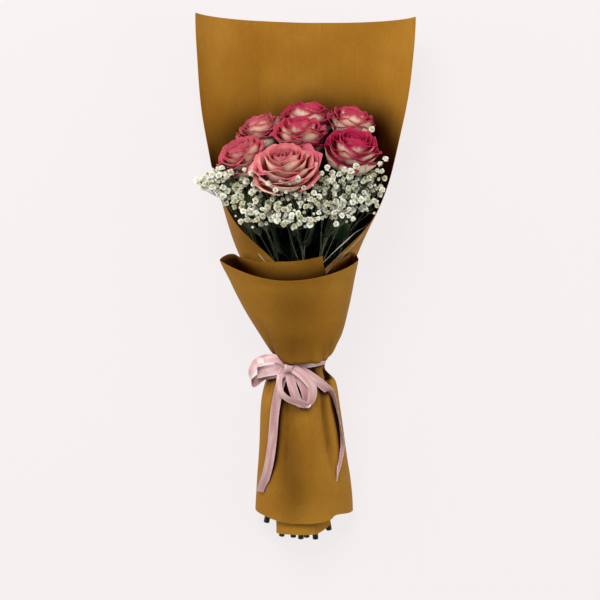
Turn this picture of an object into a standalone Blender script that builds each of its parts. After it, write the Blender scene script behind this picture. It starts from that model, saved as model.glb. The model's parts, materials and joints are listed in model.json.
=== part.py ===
"""A wrapped bunch of seven roses, lying on its back.

X is the width, +Y runs from the cut stems to the blooms, +Z is the front of the bunch. Metres.
The tables below count Y from the cut ends of the stems; the finished bunch is then moved, so that its
origin is on the floor, in the middle of its length and width.
"""

import math
import random

import bpy
import numpy as np
from mathutils import Matrix, Vector

# Driving dimensions
GAP = 0.0004
PAPER = 0.0008
FLOOR_ROOM = 0.97 * PAPER
FILM = 0.0006
WAIST_Y = 0.208
WAIST_Z = 0.057
BACK_SHEET_WIDTH = 0.300
OVERLAP_RISE = 0.0013
FACET_ROOM = 0.022
GATHER_DEPTH = 0.0005
GATHERS = 10
GATHER_REACH = 0.022
STEM_DIAMETER = 0.0064
SPRAY_STEM_DIAMETER = 0.0024
STEM_PITCH = STEM_DIAMETER + 0.0003
RIBBON_WIDTH = 0.009
RIBBON = 0.0009
PETAL = 0.0011
BLADE = 0.0009

# The tall sheet's section at some heights: Y, half-width, half-height, lowest Z, centre X
BACK_SECTIONS = [
    (0.034, 0.0340, 0.0235, -0.0004, 0.002),
    (0.070, 0.0305, 0.0225, 0.0060, 0.002),
    (0.120, 0.0255, 0.0212, 0.0180, 0.001),
    (0.180, 0.0205, 0.0198, 0.0330, 0.000),
    (0.208, 0.0190, 0.0190, 0.0380, 0.000),
    (0.236, 0.0255, 0.0235, 0.0360, 0.000),
    (0.280, 0.0440, 0.0345, 0.0275, 0.000),
    (0.331, 0.0670, 0.0480, 0.0120, -0.001),
    (0.382, 0.0840, 0.0800, -0.0004, 0.002),
    (0.427, 0.0990, 0.0930, -0.0004, 0.004),
    (0.477, 0.1120, 0.0980, -0.0004, 0.005),
    (0.540, 0.1240, 0.1130, -0.0004, 0.006),
    (0.600, 0.1360, 0.1360, -0.0004, 0.006),
]
BACK_ROWS = [0.0, 0.14, 0.38, 0.64, 0.85, 1.0, 1.06, 1.13, 1.22, 1.32, 1.42, 1.52, 1.64, 1.76, 1.88, 2.0]
BACK_COLUMNS = [-1.0, -0.9, -0.8, -0.7, -0.65, -0.63, -0.54, -0.42, -0.3, -0.19, -0.095]
BACK_COLUMNS += [0.095, 0.19, 0.3, 0.42, 0.54, 0.65, 0.78, 0.9, 1.0]
# The front sheet's section: Y, left X, right X, level of the side loops, front Z, left and right loop radius
COLLAR_SECTIONS = [
    (0.020, -0.0500, 0.0586, 0.0110, 0.0540, 0.0045, 0.0050),
    (0.060, -0.0480, 0.0560, 0.0160, 0.0620, 0.0045, 0.0050),
    (0.108, -0.0450, 0.0500, 0.0280, 0.0720, 0.0045, 0.0050),
    (0.150, -0.0435, 0.0445, 0.0400, 0.0800, 0.0045, 0.0045),
    (0.182, -0.0380, 0.0390, 0.0510, 0.0850, 0.0045, 0.0045),
    (0.1985, -0.0272, 0.0272, 0.0565, 0.0842, 0.0014, 0.0014),
    (0.2095, -0.0272, 0.0272, 0.0570, 0.0842, 0.0014, 0.0014),
    (0.220, -0.0340, 0.0345, 0.0600, 0.0940, 0.0035, 0.0035),
    (0.236, -0.0430, 0.0450, 0.0660, 0.1030, 0.0050, 0.0050),
    (0.270, -0.0625, 0.0540, 0.0740, 0.1170, 0.0070, 0.0045),
    (0.300, -0.0765, 0.0595, 0.0820, 0.1320, 0.0085, 0.0045),
    (0.336, -0.0900, 0.0650, 0.0900, 0.1500, 0.0095, 0.0045),
]
COLLAR_ROWS = [0.058, 0.098, 0.142, 0.182, 0.1985, 0.2095, 0.2185, 0.2299, 0.2555, 0.2884]
# Blooms: centre of the open rim, way it faces, radius, turn about its own axis in degrees
BLOOMS = [
    ((-0.0187, 0.4500, 0.1560), (-0.10, 0.92, 0.37), 0.0350, 20),
    ((-0.0660, 0.4541, 0.1070), (-0.45, 0.87, 0.20), 0.0285, 75),
    ((-0.0480, 0.4691, 0.0530), (-0.38, 0.92, -0.03), 0.0270, 130),
    ((0.0090, 0.4868, 0.0400), (0.03, 1.00, -0.07), 0.0285, 10),
    ((0.0600, 0.4854, 0.0600), (0.24, 0.96, 0.02), 0.0270, 50),
    ((0.0625, 0.4636, 0.1220), (0.20, 0.93, 0.30), 0.0310, 95),
    ((-0.0010, 0.4773, 0.0960), (0.00, 0.99, 0.12), 0.0295, 160),
]
BLOOM_RADIUS = 0.035
BLOOM_HEIGHT = 0.040
# Stem places round the waist, in degrees from +X toward +Z; the last stem is the middle one
STEM_ANGLES = [105, 165, 225, 285, 345, 45]
STEM_SPREAD = (0.029, 0.011)
# Leaves: stem, place along it from the waist to the hip, length, turn round the stem in degrees
LEAVES = [
    (0, 0.55, 0.040, -62),
    (1, 0.60, 0.042, 20),
    (2, 0.62, 0.040, -10),
    (3, 0.60, 0.040, 0),
    (4, 0.62, 0.040, 10),
    (5, 0.60, 0.042, -20),
    (5, 0.42, 0.036, 50),
]
# Sprays: place round the waist in degrees, its radius there, hub, middle and reach of the florets, count
SPRAYS = [
    (195, 0.0092, (-0.058, 0.368, 0.094), (-0.090, 0.406, 0.122), (0.023, 0.020, 0.008), 10),
    (135, 0.0092, (-0.028, 0.346, 0.098), (-0.050, 0.384, 0.136), (0.023, 0.018, 0.012), 10),
    (92, 0.0114, (0.005, 0.353, 0.108), (0.000, 0.378, 0.163), (0.027, 0.016, 0.006), 10),
    (75, 0.0092, (0.026, 0.346, 0.099), (0.042, 0.386, 0.134), (0.020, 0.020, 0.012), 10),
    (15, 0.0092, (0.056, 0.364, 0.090), (0.084, 0.404, 0.117), (0.020, 0.023, 0.009), 10),
]
FLORET_RADIUS = 0.0046
SHARP_ANGLE = math.radians(55)

COLOURS = {
    "kraft": (0.42, 0.235, 0.062, 0.85),
    "film": (0.80, 0.80, 0.76, 0.15),
    "ribbon": (0.80, 0.50, 0.52, 0.35),
    "twine": (0.30, 0.34, 0.14, 0.90),
    "petal": (0.78, 0.22, 0.32, 0.60),
    "leaf": (0.035, 0.085, 0.025, 0.55),
    "breath": (0.74, 0.76, 0.62, 0.70),
}


def clear_scene():
    for item in list(bpy.data.objects):
        bpy.data.objects.remove(item, do_unlink=True)


def material(kind):
    found = bpy.data.materials.get(kind)
    if found:
        return found
    made = bpy.data.materials.new(kind)
    made.use_nodes = True
    shader = made.node_tree.nodes["Principled BSDF"]
    red, green, blue, roughness = COLOURS[kind]
    shader.inputs["Base Color"].default_value = (red, green, blue, 1.0)
    shader.inputs["Roughness"].default_value = roughness
    shader.inputs["Metallic"].default_value = 0.0
    return made


def shade(mesh):
    mesh.shade_smooth()
    mesh.set_sharp_from_angle(angle=SHARP_ANGLE)


def add_object(name, points, faces, kind):
    mesh = bpy.data.meshes.new(name)
    mesh.from_pydata([tuple(float(c) for c in p) for p in points], [], faces)
    mesh.update()
    shade(mesh)
    made = bpy.data.objects.new(name, mesh)
    bpy.context.scene.collection.objects.link(made)
    mesh.materials.append(material(kind))
    return made


def smooth_rows(table, at):
    """Reads a table of sections at one Y, on a curve through its rows that doesn't overshoot."""
    keys = [row[0] for row in table]
    at = min(max(at, keys[0]), keys[-1])
    last = len(keys) - 2
    here = min(max(np.searchsorted(keys, at) - 1, 0), last)
    span = keys[here + 1] - keys[here]
    t = (at - keys[here]) / span

    def slope(k, column):
        if k == 0 or k == len(keys) - 1:
            return 0.0
        before = (table[k][column] - table[k - 1][column]) / (keys[k] - keys[k - 1])
        after = (table[k + 1][column] - table[k][column]) / (keys[k + 1] - keys[k])
        return 0.0 if before * after <= 0 else 2 * before * after / (before + after)

    values = []
    for column in range(1, len(table[0])):
        low, high = table[here][column], table[here + 1][column]
        start, end = slope(here, column) * span, slope(here + 1, column) * span
        values.append(
            low * (1 + 2 * t) * (1 - t) ** 2
            + start * t * (1 - t) ** 2
            + high * t * t * (3 - 2 * t)
            - end * t * t * (1 - t)
        )
    return values


# Thick sheets from a grid of points on their outer face


def grid_normals(grid):
    along = np.gradient(grid, axis=0)
    across = np.gradient(grid, axis=1)
    normals = np.cross(across, along)
    return normals / np.maximum(np.linalg.norm(normals, axis=2, keepdims=True), 1e-9)


def thick_sheet(grid, thickness):
    """A closed sheet: the grid's face points along across x along, and the wall goes in behind it."""
    rows, columns = grid.shape[:2]
    inner = grid - grid_normals(grid) * thickness
    points = np.concatenate([grid.reshape(-1, 3), inner.reshape(-1, 3)])
    behind = rows * columns
    faces = []
    for i in range(rows - 1):
        for j in range(columns - 1):
            a, b = i * columns + j, i * columns + j + 1
            c, d = a + columns, b + columns
            faces += [(a, b, d), (a, d, c)]
            faces += [(a + behind, d + behind, b + behind), (a + behind, c + behind, d + behind)]
    rim = [j for j in range(columns)]
    rim += [i * columns + columns - 1 for i in range(1, rows)]
    rim += [(rows - 1) * columns + j for j in range(columns - 2, -1, -1)]
    rim += [i * columns for i in range(rows - 2, 0, -1)]
    for a, b in zip(rim, rim[1:] + rim[:1]):
        faces += [(a, a + behind, b + behind), (a, b + behind, b)]
    return points, faces


# The tall sheet and the film inside it


def back_section(y):
    return smooth_rows(BACK_SECTIONS, y)


def section_table(half_width, half_height):
    """Angles from the section's lowest point, and how far along the section they lie."""
    angles = np.linspace(0, 1.3 * math.pi, 261)
    steps = np.hypot(np.diff(half_width * np.sin(angles)), np.diff(half_height * np.cos(angles)))
    return angles, np.concatenate([[0], np.cumsum(steps)])


def half_turn_length(y):
    half_width, half_height = back_section(y)[:2]
    angles, lengths = section_table(half_width, half_height)
    return np.interp(math.pi, angles, lengths)


def gather(y, angle):
    return GATHER_DEPTH * math.exp(-(((y - WAIST_Y) / GATHER_REACH) ** 2)) * math.cos(GATHERS * angle)


def wrap_point(y, distance, lift):
    """A point on the tall sheet's inner face, this far across it from its back line, moved out by lift."""
    half_width, half_height, lowest, centre = back_section(y)
    angles, lengths = section_table(half_width, half_height)
    angle = math.copysign(np.interp(abs(distance), lengths, angles), distance)
    normal = Vector((half_height * math.sin(angle), 0.0, -half_width * math.cos(angle))).normalized()
    out = lift + gather(y, angle)
    x = centre + half_width * math.sin(angle) + normal.x * out
    z = lowest + half_height * (1 - math.cos(angle)) + normal.z * out
    return np.array((x, y, max(z, FLOOR_ROOM)))


def back_end(share, side):
    """Top edge, which bows up at the corners as on a cone, and lower edge, where only the front flap is long."""
    if side > 0:
        return 0.5735 + 0.0195 * share * share
    return 0.034 if -0.64 < share else 0.009


def back_reach(y):
    return min(BACK_SHEET_WIDTH / 2, 1.16 * half_turn_length(y))


def back_y(share, t):
    """Y on the tall sheet: t is 0 at its lower edge, 1 at the waist and 2 at its top edge."""
    if t < 1:
        return back_end(share, -1) + (WAIST_Y - back_end(share, -1)) * t
    return WAIST_Y + (back_end(share, 1) - WAIST_Y) * (t - 1)


def backing_paper():
    """Its back line is pressed flat on the floor below the blooms and at the hem."""
    grid = []
    for t in BACK_ROWS:
        row = []
        for share in BACK_COLUMNS:
            y = back_y(share, t)
            row.append(wrap_point(y, share * back_reach(y), -OVERLAP_RISE * share))
        grid.append(row)
    points, faces = thick_sheet(np.array(grid), PAPER)
    points[:, 2] = np.maximum(points[:, 2], 0.0)
    return add_object("backing_paper", points, faces, "kraft")


def clear_film():
    """Just inside the tall sheet, on the same rows and columns."""
    rows = [t for t in BACK_ROWS if 0.8 < t < 1.5]
    columns = [share for share in BACK_COLUMNS if abs(share) < 0.85]
    grid = []
    for t in rows:
        row = []
        for share in columns:
            y = back_y(share, t)
            row.append(wrap_point(y, share * back_reach(y), -OVERLAP_RISE - PAPER - GAP))
        grid.append(row)
    points, faces = thick_sheet(np.array(grid), FILM)
    return add_object("clear_film", points, faces, "film")


# The front sheet


def half_ellipse(left, right, level, top, turn):
    """A point over the top from left to right; turn goes from -1 to 1."""
    middle, reach = (left + right) / 2, (right - left) / 2
    angle = turn * math.pi / 2
    return middle + reach * math.sin(angle), level + (top - level) * math.cos(angle)


def collar_section(y, part, turn):
    """One point of the front sheet's section: its front, a side loop, or a flap behind the front."""
    left, right, level, front, left_loop, right_loop = smooth_rows(COLLAR_SECTIONS, y)
    half_width, half_height, lowest = back_section(y)[:3]
    inner_left, inner_right = left + 2 * left_loop, right - 2 * right_loop
    seat = lowest + 2 * half_height + OVERLAP_RISE + GAP
    fold = gather(y, turn * math.pi / 2)
    if part == "front":
        return half_ellipse(left, right, level, front + 0.5 * fold, turn)
    if part == "left loop":
        angle = math.pi * turn
        return left + left_loop * (1 - math.cos(angle)), level - left_loop * math.sin(angle)
    if part == "right loop":
        angle = math.pi * turn
        return right - right_loop * (1 - math.cos(angle)), level - right_loop * math.sin(angle)
    rise = 0.0006 + FACET_ROOM * half_width + (PAPER + 2 * GAP if part == "left flap" else 0.0)
    return half_ellipse(inner_left, inner_right, level, seat + rise, turn)


def collar_ends(part, turn):
    """Lower and upper edge of the front sheet at one place across it."""
    if part == "front":
        across = math.sin(turn * math.pi / 2) ** 2
        return 0.0240 + 0.007 * across, 0.3110 + 0.0150 * across
    if part == "left loop":
        return 0.033, 0.3260 + 0.004 * turn
    if part == "right loop":
        return 0.033, 0.3260 + 0.005 * turn
    if part == "left flap":
        return 0.036, 0.3300 + 0.0015 * (turn + 1)
    return 0.036, 0.3310 - 0.030 * (1 - turn) / 0.7


def collar_paper():
    places = [("right flap", t) for t in (0.30, 0.5, 0.7, 0.86)]
    places += [("right loop", t) for t in (1.0, 0.72, 0.45, 0.2)]
    places += [("front", t) for t in (1.0, 0.82, 0.62, 0.42, 0.2, 0.0, -0.2, -0.42, -0.62, -0.82, -1.0)]
    places += [("left loop", t) for t in (0.2, 0.45, 0.72, 1.0)]
    places += [("left flap", t) for t in (-0.86, -0.66, -0.42, -0.15, 0.13, 0.32, 0.42)]
    grid = []
    for level in [0.0] + COLLAR_ROWS + [1.0]:
        row = []
        for part, turn in places:
            low, high = collar_ends(part, turn)
            y = min(max(level, low), high)
            x, z = collar_section(y, part, turn)
            row.append((x, y, z))
        grid.append(row)
    points, faces = thick_sheet(np.array(grid), PAPER)
    return add_object("collar_paper", points, faces, "kraft")


def on_front(x, y, lift):
    """A point this far off the front sheet's outer face, and the way that face looks there."""
    left, right, level, front = smooth_rows(COLLAR_SECTIONS, y)[:4]
    middle, reach, height = (left + right) / 2, (right - left) / 2, front - level
    across = max(min((x - middle) / reach, 1.0), -1.0)
    up = math.sqrt(1 - across * across)
    normal = Vector((height * across, 0.0, reach * up)).normalized()
    return Vector((x, y, level + height * up)) + normal * lift, normal


# Swept tubes, turned shapes and blades


def frames_along(route):
    """A side direction and an up direction at each point of a route."""
    route = [Vector(p) for p in route]
    ways = []
    for k in range(len(route)):
        before, after = route[max(k - 1, 0)], route[min(k + 1, len(route) - 1)]
        ways.append((after - before).normalized())
    side = ways[0].cross(Vector((0.0, 0.0, 1.0)))
    if side.length < 0.1:
        side = ways[0].cross(Vector((1.0, 0.0, 0.0)))
    frames = []
    for way in ways:
        side = (side - way * side.dot(way)).normalized()
        frames.append((side.copy(), way.cross(side)))
    return route, frames


def tube(route, radii, sides):
    route, frames = frames_along(route)
    points, faces = [], []
    for place, (side, up), radius in zip(route, frames, radii):
        for k in range(sides):
            angle = 2 * math.pi * k / sides
            points.append(place + (side * math.cos(angle) + up * math.sin(angle)) * radius)
    for i in range(len(route) - 1):
        for k in range(sides):
            a, b = i * sides + k, i * sides + (k + 1) % sides
            faces += [(a, b, b + sides), (a, b + sides, a + sides)]
    last = (len(route) - 1) * sides
    for k in range(1, sides - 1):
        faces.append((0, k + 1, k))
        faces.append((last, last + k, last + k + 1))
    return points, faces


def turned(profile, sides):
    """A closed shape turned about Z; the profile's first and last radius are zero."""
    points = [Vector((0.0, 0.0, profile[0][1]))]
    for radius, height in profile[1:-1]:
        for k in range(sides):
            angle = 2 * math.pi * k / sides
            points.append(Vector((radius * math.cos(angle), radius * math.sin(angle), height)))
    points.append(Vector((0.0, 0.0, profile[-1][1])))
    rings = len(profile) - 2
    top = len(points) - 1
    faces = []
    for k in range(sides):
        n = (k + 1) % sides
        faces.append((0, 1 + n, 1 + k))
        for i in range(rings - 1):
            a, b = 1 + i * sides + k, 1 + i * sides + n
            faces += [(a, b, b + sides), (a, b + sides, a + sides)]
        low = 1 + (rings - 1) * sides
        faces.append((low + k, low + n, top))
    return points, faces


def bezier(controls, t):
    a, b, c, d = controls
    s = 1 - t
    return [s**3 * p + 3 * s * s * t * q + 3 * s * t * t * r + t**3 * w for p, q, r, w in zip(a, b, c, d)]


def moved(shape, matrix):
    points, faces = shape
    return [matrix @ Vector(p) for p in points], faces


def fuse(name, shapes, kind, solver="EXACT"):
    """One solid from many: a Boolean union of the first shape with a collection of the others."""
    body = add_object(name, *shapes[0], kind)
    others = bpy.data.collections.new(name + "_repeats")
    bpy.context.scene.collection.children.link(others)
    for index, (points, faces) in enumerate(shapes[1:]):
        piece = add_object(f"{name}_{index}", points, faces, kind)
        bpy.context.scene.collection.objects.unlink(piece)
        others.objects.link(piece)
    union = body.modifiers.new("union", "BOOLEAN")
    union.operation = "UNION"
    union.operand_type = "COLLECTION"
    union.collection = others
    union.solver = solver
    bpy.context.view_layer.update()
    fused = bpy.data.meshes.new_from_object(body.evaluated_get(bpy.context.evaluated_depsgraph_get()))
    shade(fused)
    body.modifiers.clear()
    body.data = fused
    for piece in list(others.objects):
        bpy.data.objects.remove(piece, do_unlink=True)
    bpy.data.collections.remove(others)
    return body


# Blooms


def petal(start, half_angle, profile, across, along, spiral, droop):
    """A blade on a curved profile of radius and height, closer to the axis at one side than the other."""
    grid = []
    for i in range(along + 1):
        t = i / along
        radius, height = bezier(profile, t)
        width = math.sin(math.pi * (0.12 + 0.60 * t)) ** 0.8 * (1 - 0.28 * t**4)
        row = []
        for j in range(across + 1):
            u = 2 * j / across - 1
            angle = start + u * half_angle * width
            r = radius + spiral * u
            z = height - droop * u * u * t + 0.12 * droop * (1 - abs(u)) * t**4
            row.append((r * math.cos(angle), r * math.sin(angle), z))
        grid.append(row)
    return thick_sheet(np.array(grid), PETAL)


def bloom_frame(rim, way, radius, turn):
    """Local axes of a bloom: Z the way it faces, its base BLOOM_HEIGHT below the rim, at the full-size scale."""
    scale = radius / BLOOM_RADIUS
    axis = Vector(way).normalized()
    base = Vector(rim) - axis * BLOOM_HEIGHT * scale
    spin = Matrix.Rotation(math.radians(turn), 4, "Z")
    return Matrix.Translation(base) @ axis.to_track_quat("Z", "Y").to_matrix().to_4x4() @ spin, scale


def rose_bloom(number):
    rim, way, radius, turn = BLOOMS[number]
    frame, scale = bloom_frame(rim, way, radius, turn)
    mm = scale / 1000
    draws = random.Random(41 + number)
    heart = [(0, 0), (7, 0.4), (14, 11), (12.5, 32), (4, 40), (0, 38)]
    shapes = [turned([(r * mm, z * mm) for r, z in heart], 6)]
    layers = [
        (2, 80, ((8, 13), (19, 13), (19, 32), (15.0, 42.5)), 2, 2, 1.1, 4, 10),
        (3, 66, ((8, 9), (22, 9), (23, 33), (24.0, 40)), 2, 2, 1.3, 5, 40),
        (5, 41, ((7, 5), (27, 5), (26, 31), (34.0, 35.5)), 2, 2, 1.4, 6, 0),
    ]
    for count, half, profile, across, along, spiral, droop, first in layers:
        for k in range(count):
            start = math.radians(first + 360 * k / count + draws.uniform(-4, 4))
            lift = draws.uniform(-1.2, 1.2)
            shape = [(r * mm, (z + lift * (z > 20)) * mm) for r, z in profile]
            shapes.append(petal(start, math.radians(half), shape, across, along, spiral * mm, droop * mm))
    return fuse(f"rose_bloom_{number + 1}", [moved(shape, frame) for shape in shapes], "petal")


# Stems


def waist_place(angle, radius):
    turn = math.radians(angle)
    return Vector((radius * math.cos(turn), WAIST_Y, WAIST_Z + radius * math.sin(turn)))


def stem_route(number):
    """From the cut end through the waist to the hip, as one smooth curve."""
    rim, way, radius, turn = BLOOMS[number]
    frame, scale = bloom_frame(rim, way, radius, turn)
    axis = Vector(way).normalized()
    hip = frame.translation - axis * 0.0004
    if number < len(STEM_ANGLES):
        angle = STEM_ANGLES[number]
        waist = waist_place(angle, STEM_PITCH)
        turn = math.radians(angle)
        end = Vector((STEM_SPREAD[0] * math.cos(turn), 0.0, 0.022 + STEM_SPREAD[1] * math.sin(turn)))
    else:
        waist = Vector((0.0, WAIST_Y, WAIST_Z))
        end = Vector((0.001, 0.002, 0.022))
    reach = (hip - waist).length
    controls = (waist, waist + Vector((0, 0.30 * reach, 0)) + (hip - waist) * 0.06, hip - axis * 0.34 * reach, hip)
    route = [end, end.lerp(waist, 0.5) + Vector((0, 0, 0.001)), waist - Vector((0, 0.012, 0))]
    route += [Vector(bezier(controls, t)) for t in (0.05, 0.26, 0.48, 0.70, 0.89)]
    return route, hip, axis


def blade(root, way, face, length, width, rows, notch, bend):
    """A leaf or sepal: a pointed blade with a rib, whose edge steps in and out by notch."""
    way, face = way.normalized(), face.normalized()
    side = way.cross(face).normalized()
    grid = []
    for i in range(rows + 1):
        t = i / rows
        half = width / 2 * (math.sin(math.pi * (0.08 + 0.88 * t)) ** 0.8)
        half *= 1 - (notch if i % 2 else 0.0)
        middle = root + way * (length * t) - face * (bend * length * t * t)
        grid.append([middle - side * half + face * half * 0.35, middle, middle + side * half + face * half * 0.35])
    return thick_sheet(np.array(grid), BLADE)


def sepal(root, way, face, length, width):
    way = way.normalized()
    side = way.cross(face).normalized()
    grid = []
    for t, half in ((0.0, 0.5), (0.45, 0.5), (1.0, 0.08)):
        middle = root + way * (length * t) - face * (0.3 * length * t * t)
        grid.append([middle - side * half * width, middle + side * half * width])
    return thick_sheet(np.array(grid), BLADE)


def leaf_blade(route, place, length, turn):
    """A leaf on a short stalk, leaning away from the middle of the bunch."""
    spot = place * 5 + 3
    k = min(int(spot), len(route) - 2)
    root = route[k].lerp(route[k + 1], spot - k)
    way = (route[k + 1] - route[k]).normalized()
    out = Vector((root.x, 0.0, root.z - (WAIST_Z + 0.166 * (root.y - WAIST_Y))))
    out = (out - way * out.dot(way)).normalized()
    out = Matrix.Rotation(math.radians(turn), 3, way) @ out
    heading = (way * 0.93 + out * 0.36).normalized()
    return blade(root, heading, out - heading * out.dot(heading), length, length * 0.50, 5, 0.13, 0.10)


def rose_stem(number):
    route, hip, axis = stem_route(number)
    scale = BLOOMS[number][2] / BLOOM_RADIUS
    radius = STEM_DIAMETER / 2
    radii = [radius] * len(route)
    route += [hip - axis * 0.013 * scale, hip - axis * 0.008 * scale, hip]
    radii += [0.0030, 0.0066 * scale, 0.0052 * scale]
    shapes = [tube(route, radii, 5)]
    across = axis.orthogonal().normalized()
    draws = random.Random(90 + number)
    for k in range(5):
        out = Matrix.Rotation(math.radians(72 * k + 15 * number + draws.uniform(-6, 6)), 3, axis) @ across
        root = hip - axis * (0.0075 + draws.uniform(-0.0005, 0.0005)) * scale + out * 0.0042 * scale
        shapes.append(sepal(root, out - axis * 0.35, axis, 0.019 * scale, 0.0075 * scale))
    for stem, place, length, turn in LEAVES:
        if stem == number:
            shapes.append(leaf_blade(route, place, length, turn))
    return fuse(f"rose_stem_{number + 1}", shapes, "leaf")


# Baby's breath


def floret(root, spot, face, radius, thin):
    """A four-petalled star with a raised middle, on its own three-sided stalk from the root."""
    way, face = (spot - root).normalized(), face.normalized()
    across = face.orthogonal().normalized()
    stalk_across = (across - way * across.dot(way)).normalized()
    neck = spot - face * radius * 0.75
    points = []
    for centre, axis, start in ((root, way, stalk_across), (neck, face, across)):
        for k in range(3):
            points.append(centre + Matrix.Rotation(math.radians(120 * k), 3, axis) @ start * thin)
    for k in range(8):
        out = Matrix.Rotation(math.radians(45 * k), 3, face) @ across
        points.append(spot + out * radius * (0.62 if k % 2 else 1.0) + face * radius * 0.15 * (k % 2))
    points.append(spot + face * radius * 0.5)
    faces = [(0, 2, 1)]
    for k in range(3):
        n = (k + 1) % 3
        faces += [(k, n, 3 + n), (k, 3 + n, 3 + k)]
    for k in range(8):
        n = (k + 1) % 8
        under, after = 3 + (k * 3 + 1) // 8 % 3, 3 + (n * 3 + 1) // 8 % 3
        faces += [(under, 6 + n, 6 + k), (14, 6 + k, 6 + n)]
        if under != after:
            faces.append((under, after, 6 + n))
    return points, faces


def breath_spray(number):
    angle, radius, hub, middle, reach, count = SPRAYS[number]
    draws = random.Random(7 + number)
    hub, middle = Vector(hub), Vector(middle)
    waist = waist_place(angle, radius)
    thin = SPRAY_STEM_DIAMETER / 2
    out = Vector((waist.x, 0.0, waist.z - WAIST_Z))
    low = waist + out * 0.20 + Vector((0, -0.014, -0.0024))
    bend = waist + Vector(((hub.x - waist.x) * 0.24, 0.045, (hub.z - waist.z) * 0.24))
    route = [low, waist - Vector((0, 0.010, 0)), waist + Vector((0, 0.008, 0)), bend, hub]
    shapes = [tube(route, [thin] * 4 + [thin * 0.9], 4)]
    placed = []
    while len(placed) < count:
        spot = Vector([draws.uniform(-1, 1) for _ in range(3)])
        if spot.length > 1:
            continue
        spot = middle + Vector([s * r for s, r in zip(spot, reach)])
        if all((spot - other).length > 2.1 * FLORET_RADIUS for other in placed):
            placed.append(spot)
    placed.sort(key=lambda p: (p.x, p.y))
    size = math.ceil(count / 3)
    for first in range(0, count, size):
        members = placed[first : first + size]
        members.sort(key=lambda p: -(p - middle).length)
        fork = hub.lerp(sum(members, Vector()) / len(members), 0.62)
        way = (fork - hub).normalized()
        shapes.append(tube([hub - way * 0.001, fork + way * 0.0008], [thin * 0.85, thin * 0.85], 3))
        for k, spot in enumerate(members):
            root = hub.lerp(fork, 0.5 + 0.5 * (k + 1) / len(members))
            face = (spot - root).normalized() + Vector((0, 0.3, 0.8))
            shapes.append(floret(root, spot, face, FLORET_RADIUS * draws.uniform(0.85, 1.1), thin * 0.45))
    return fuse(f"breath_spray_{number + 1}", shapes, "breath")


# Twine and ribbon


def ring(y, width, centre, inside, thickness, sides):
    """A band round the bunch; inside gives its half-width, its half-height above and its half-height below."""
    points = []
    for y_side in (-0.5, 0.5):
        for out in (0.0, thickness):
            for k in range(sides):
                angle = 2 * math.pi * k / sides
                tall = inside[1] if math.sin(angle) >= 0 else inside[2]
                points.append(
                    (
                        centre[0] + (inside[0] + out) * math.cos(angle),
                        y + y_side * width,
                        centre[1] + (tall + out) * math.sin(angle),
                    )
                )
    faces = []
    for k in range(sides):
        n = (k + 1) % sides
        for a, b in ((0, 1), (1, 3), (3, 2), (2, 0)):
            faces += [
                (a * sides + k, b * sides + n, a * sides + n),
                (a * sides + k, b * sides + k, b * sides + n),
            ]
    return points, faces


def stem_twine():
    points, faces = ring(WAIST_Y - 0.004, 0.006, (0.0, WAIST_Z), (0.0134, 0.0134, 0.0134), 0.0008, 16)
    return add_object("stem_twine", points, faces, "twine")


def strip(route, looks, width, thickness):
    """A ribbon along a route; looks gives the way its face looks at each point."""
    grid = []
    for k, place in enumerate(route):
        way = (route[min(k + 1, len(route) - 1)] - route[max(k - 1, 0)]).normalized()
        side = way.cross(looks[k]).normalized() * width / 2
        grid.append([place - side, place + side])
    return thick_sheet(np.array(grid), thickness)


def tail(knot, places):
    """A hanging end that lies on the front sheet; places give X, Y and the clearance."""
    laid = [on_front(x, y, lift + RIBBON) for x, y, lift in places]
    return strip([knot] + [p for p, _ in laid], [laid[0][1]] + [n for _, n in laid], RIBBON_WIDTH, RIBBON)


def satin_ribbon():
    knot = Vector((-0.0125, 0.2035, 0.0884))
    band = ring(WAIST_Y - 0.004, RIBBON_WIDTH, (0.0, WAIST_Z), (0.0284, 0.0284, 0.0222), RIBBON, 20)
    outline = [(0, -7), (4.0, -5.5), (5.5, -1), (5, 3), (3, 5.5), (0, 6.0)]
    spin = Matrix.Translation(knot) @ Matrix.Rotation(math.radians(90), 4, "Y")
    shapes = [band, moved(turned([(r / 1000, z / 1000) for r, z in outline], 8), spin)]
    left_tail = [(-0.021, 0.187, 0.004), (-0.027, 0.165, 0.002), (-0.030, 0.135, 0.0015), (-0.0335, 0.105, 0.0015)]
    left_tail += [(-0.0375, 0.080, 0.0015), (-0.041, 0.055, 0.002)]
    right_tail = [(0.012, 0.194, 0.010), (0.028, 0.178, 0.003), (0.038, 0.160, 0.002), (0.042, 0.135, 0.002)]
    right_tail += [(0.0435, 0.105, 0.002), (0.041, 0.068, 0.002)]
    shapes += [tail(knot, left_tail), tail(knot, right_tail)]

    def loop(corners, look):
        route = [knot] + [knot + Vector(corner) for corner in corners] + [knot - Vector((0, 0, 0.002))]
        return strip(route, [Vector(look)] * len(route), RIBBON_WIDTH, RIBBON)

    upper = ((-0.018, 0.011, 0.005), (-0.034, 0.008, 0.005), (-0.041, 0.001, 0.0), (-0.033, -0.004, -0.005))
    lower = ((-0.024, 0.001, 0.011), (-0.038, -0.008, 0.008), (-0.044, -0.016, 0.001), (-0.037, -0.020, -0.003))
    hanging = ((-0.008, -0.016, 0.008), (0.001, -0.032, 0.013), (0.017, -0.040, 0.013), (0.028, -0.030, 0.010))
    shapes.append(loop(upper + ((-0.018, -0.002, -0.004),), (0.3, 0.9, 0.6)))
    shapes.append(loop(lower + ((-0.020, -0.011, 0.0),), (0.3, 0.9, 0.6)))
    shapes.append(loop(hanging + ((0.022, -0.012, 0.007),), (0.2, -0.6, 0.9)))
    return fuse("satin_ribbon", shapes, "ribbon", solver="MANIFOLD")


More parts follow.
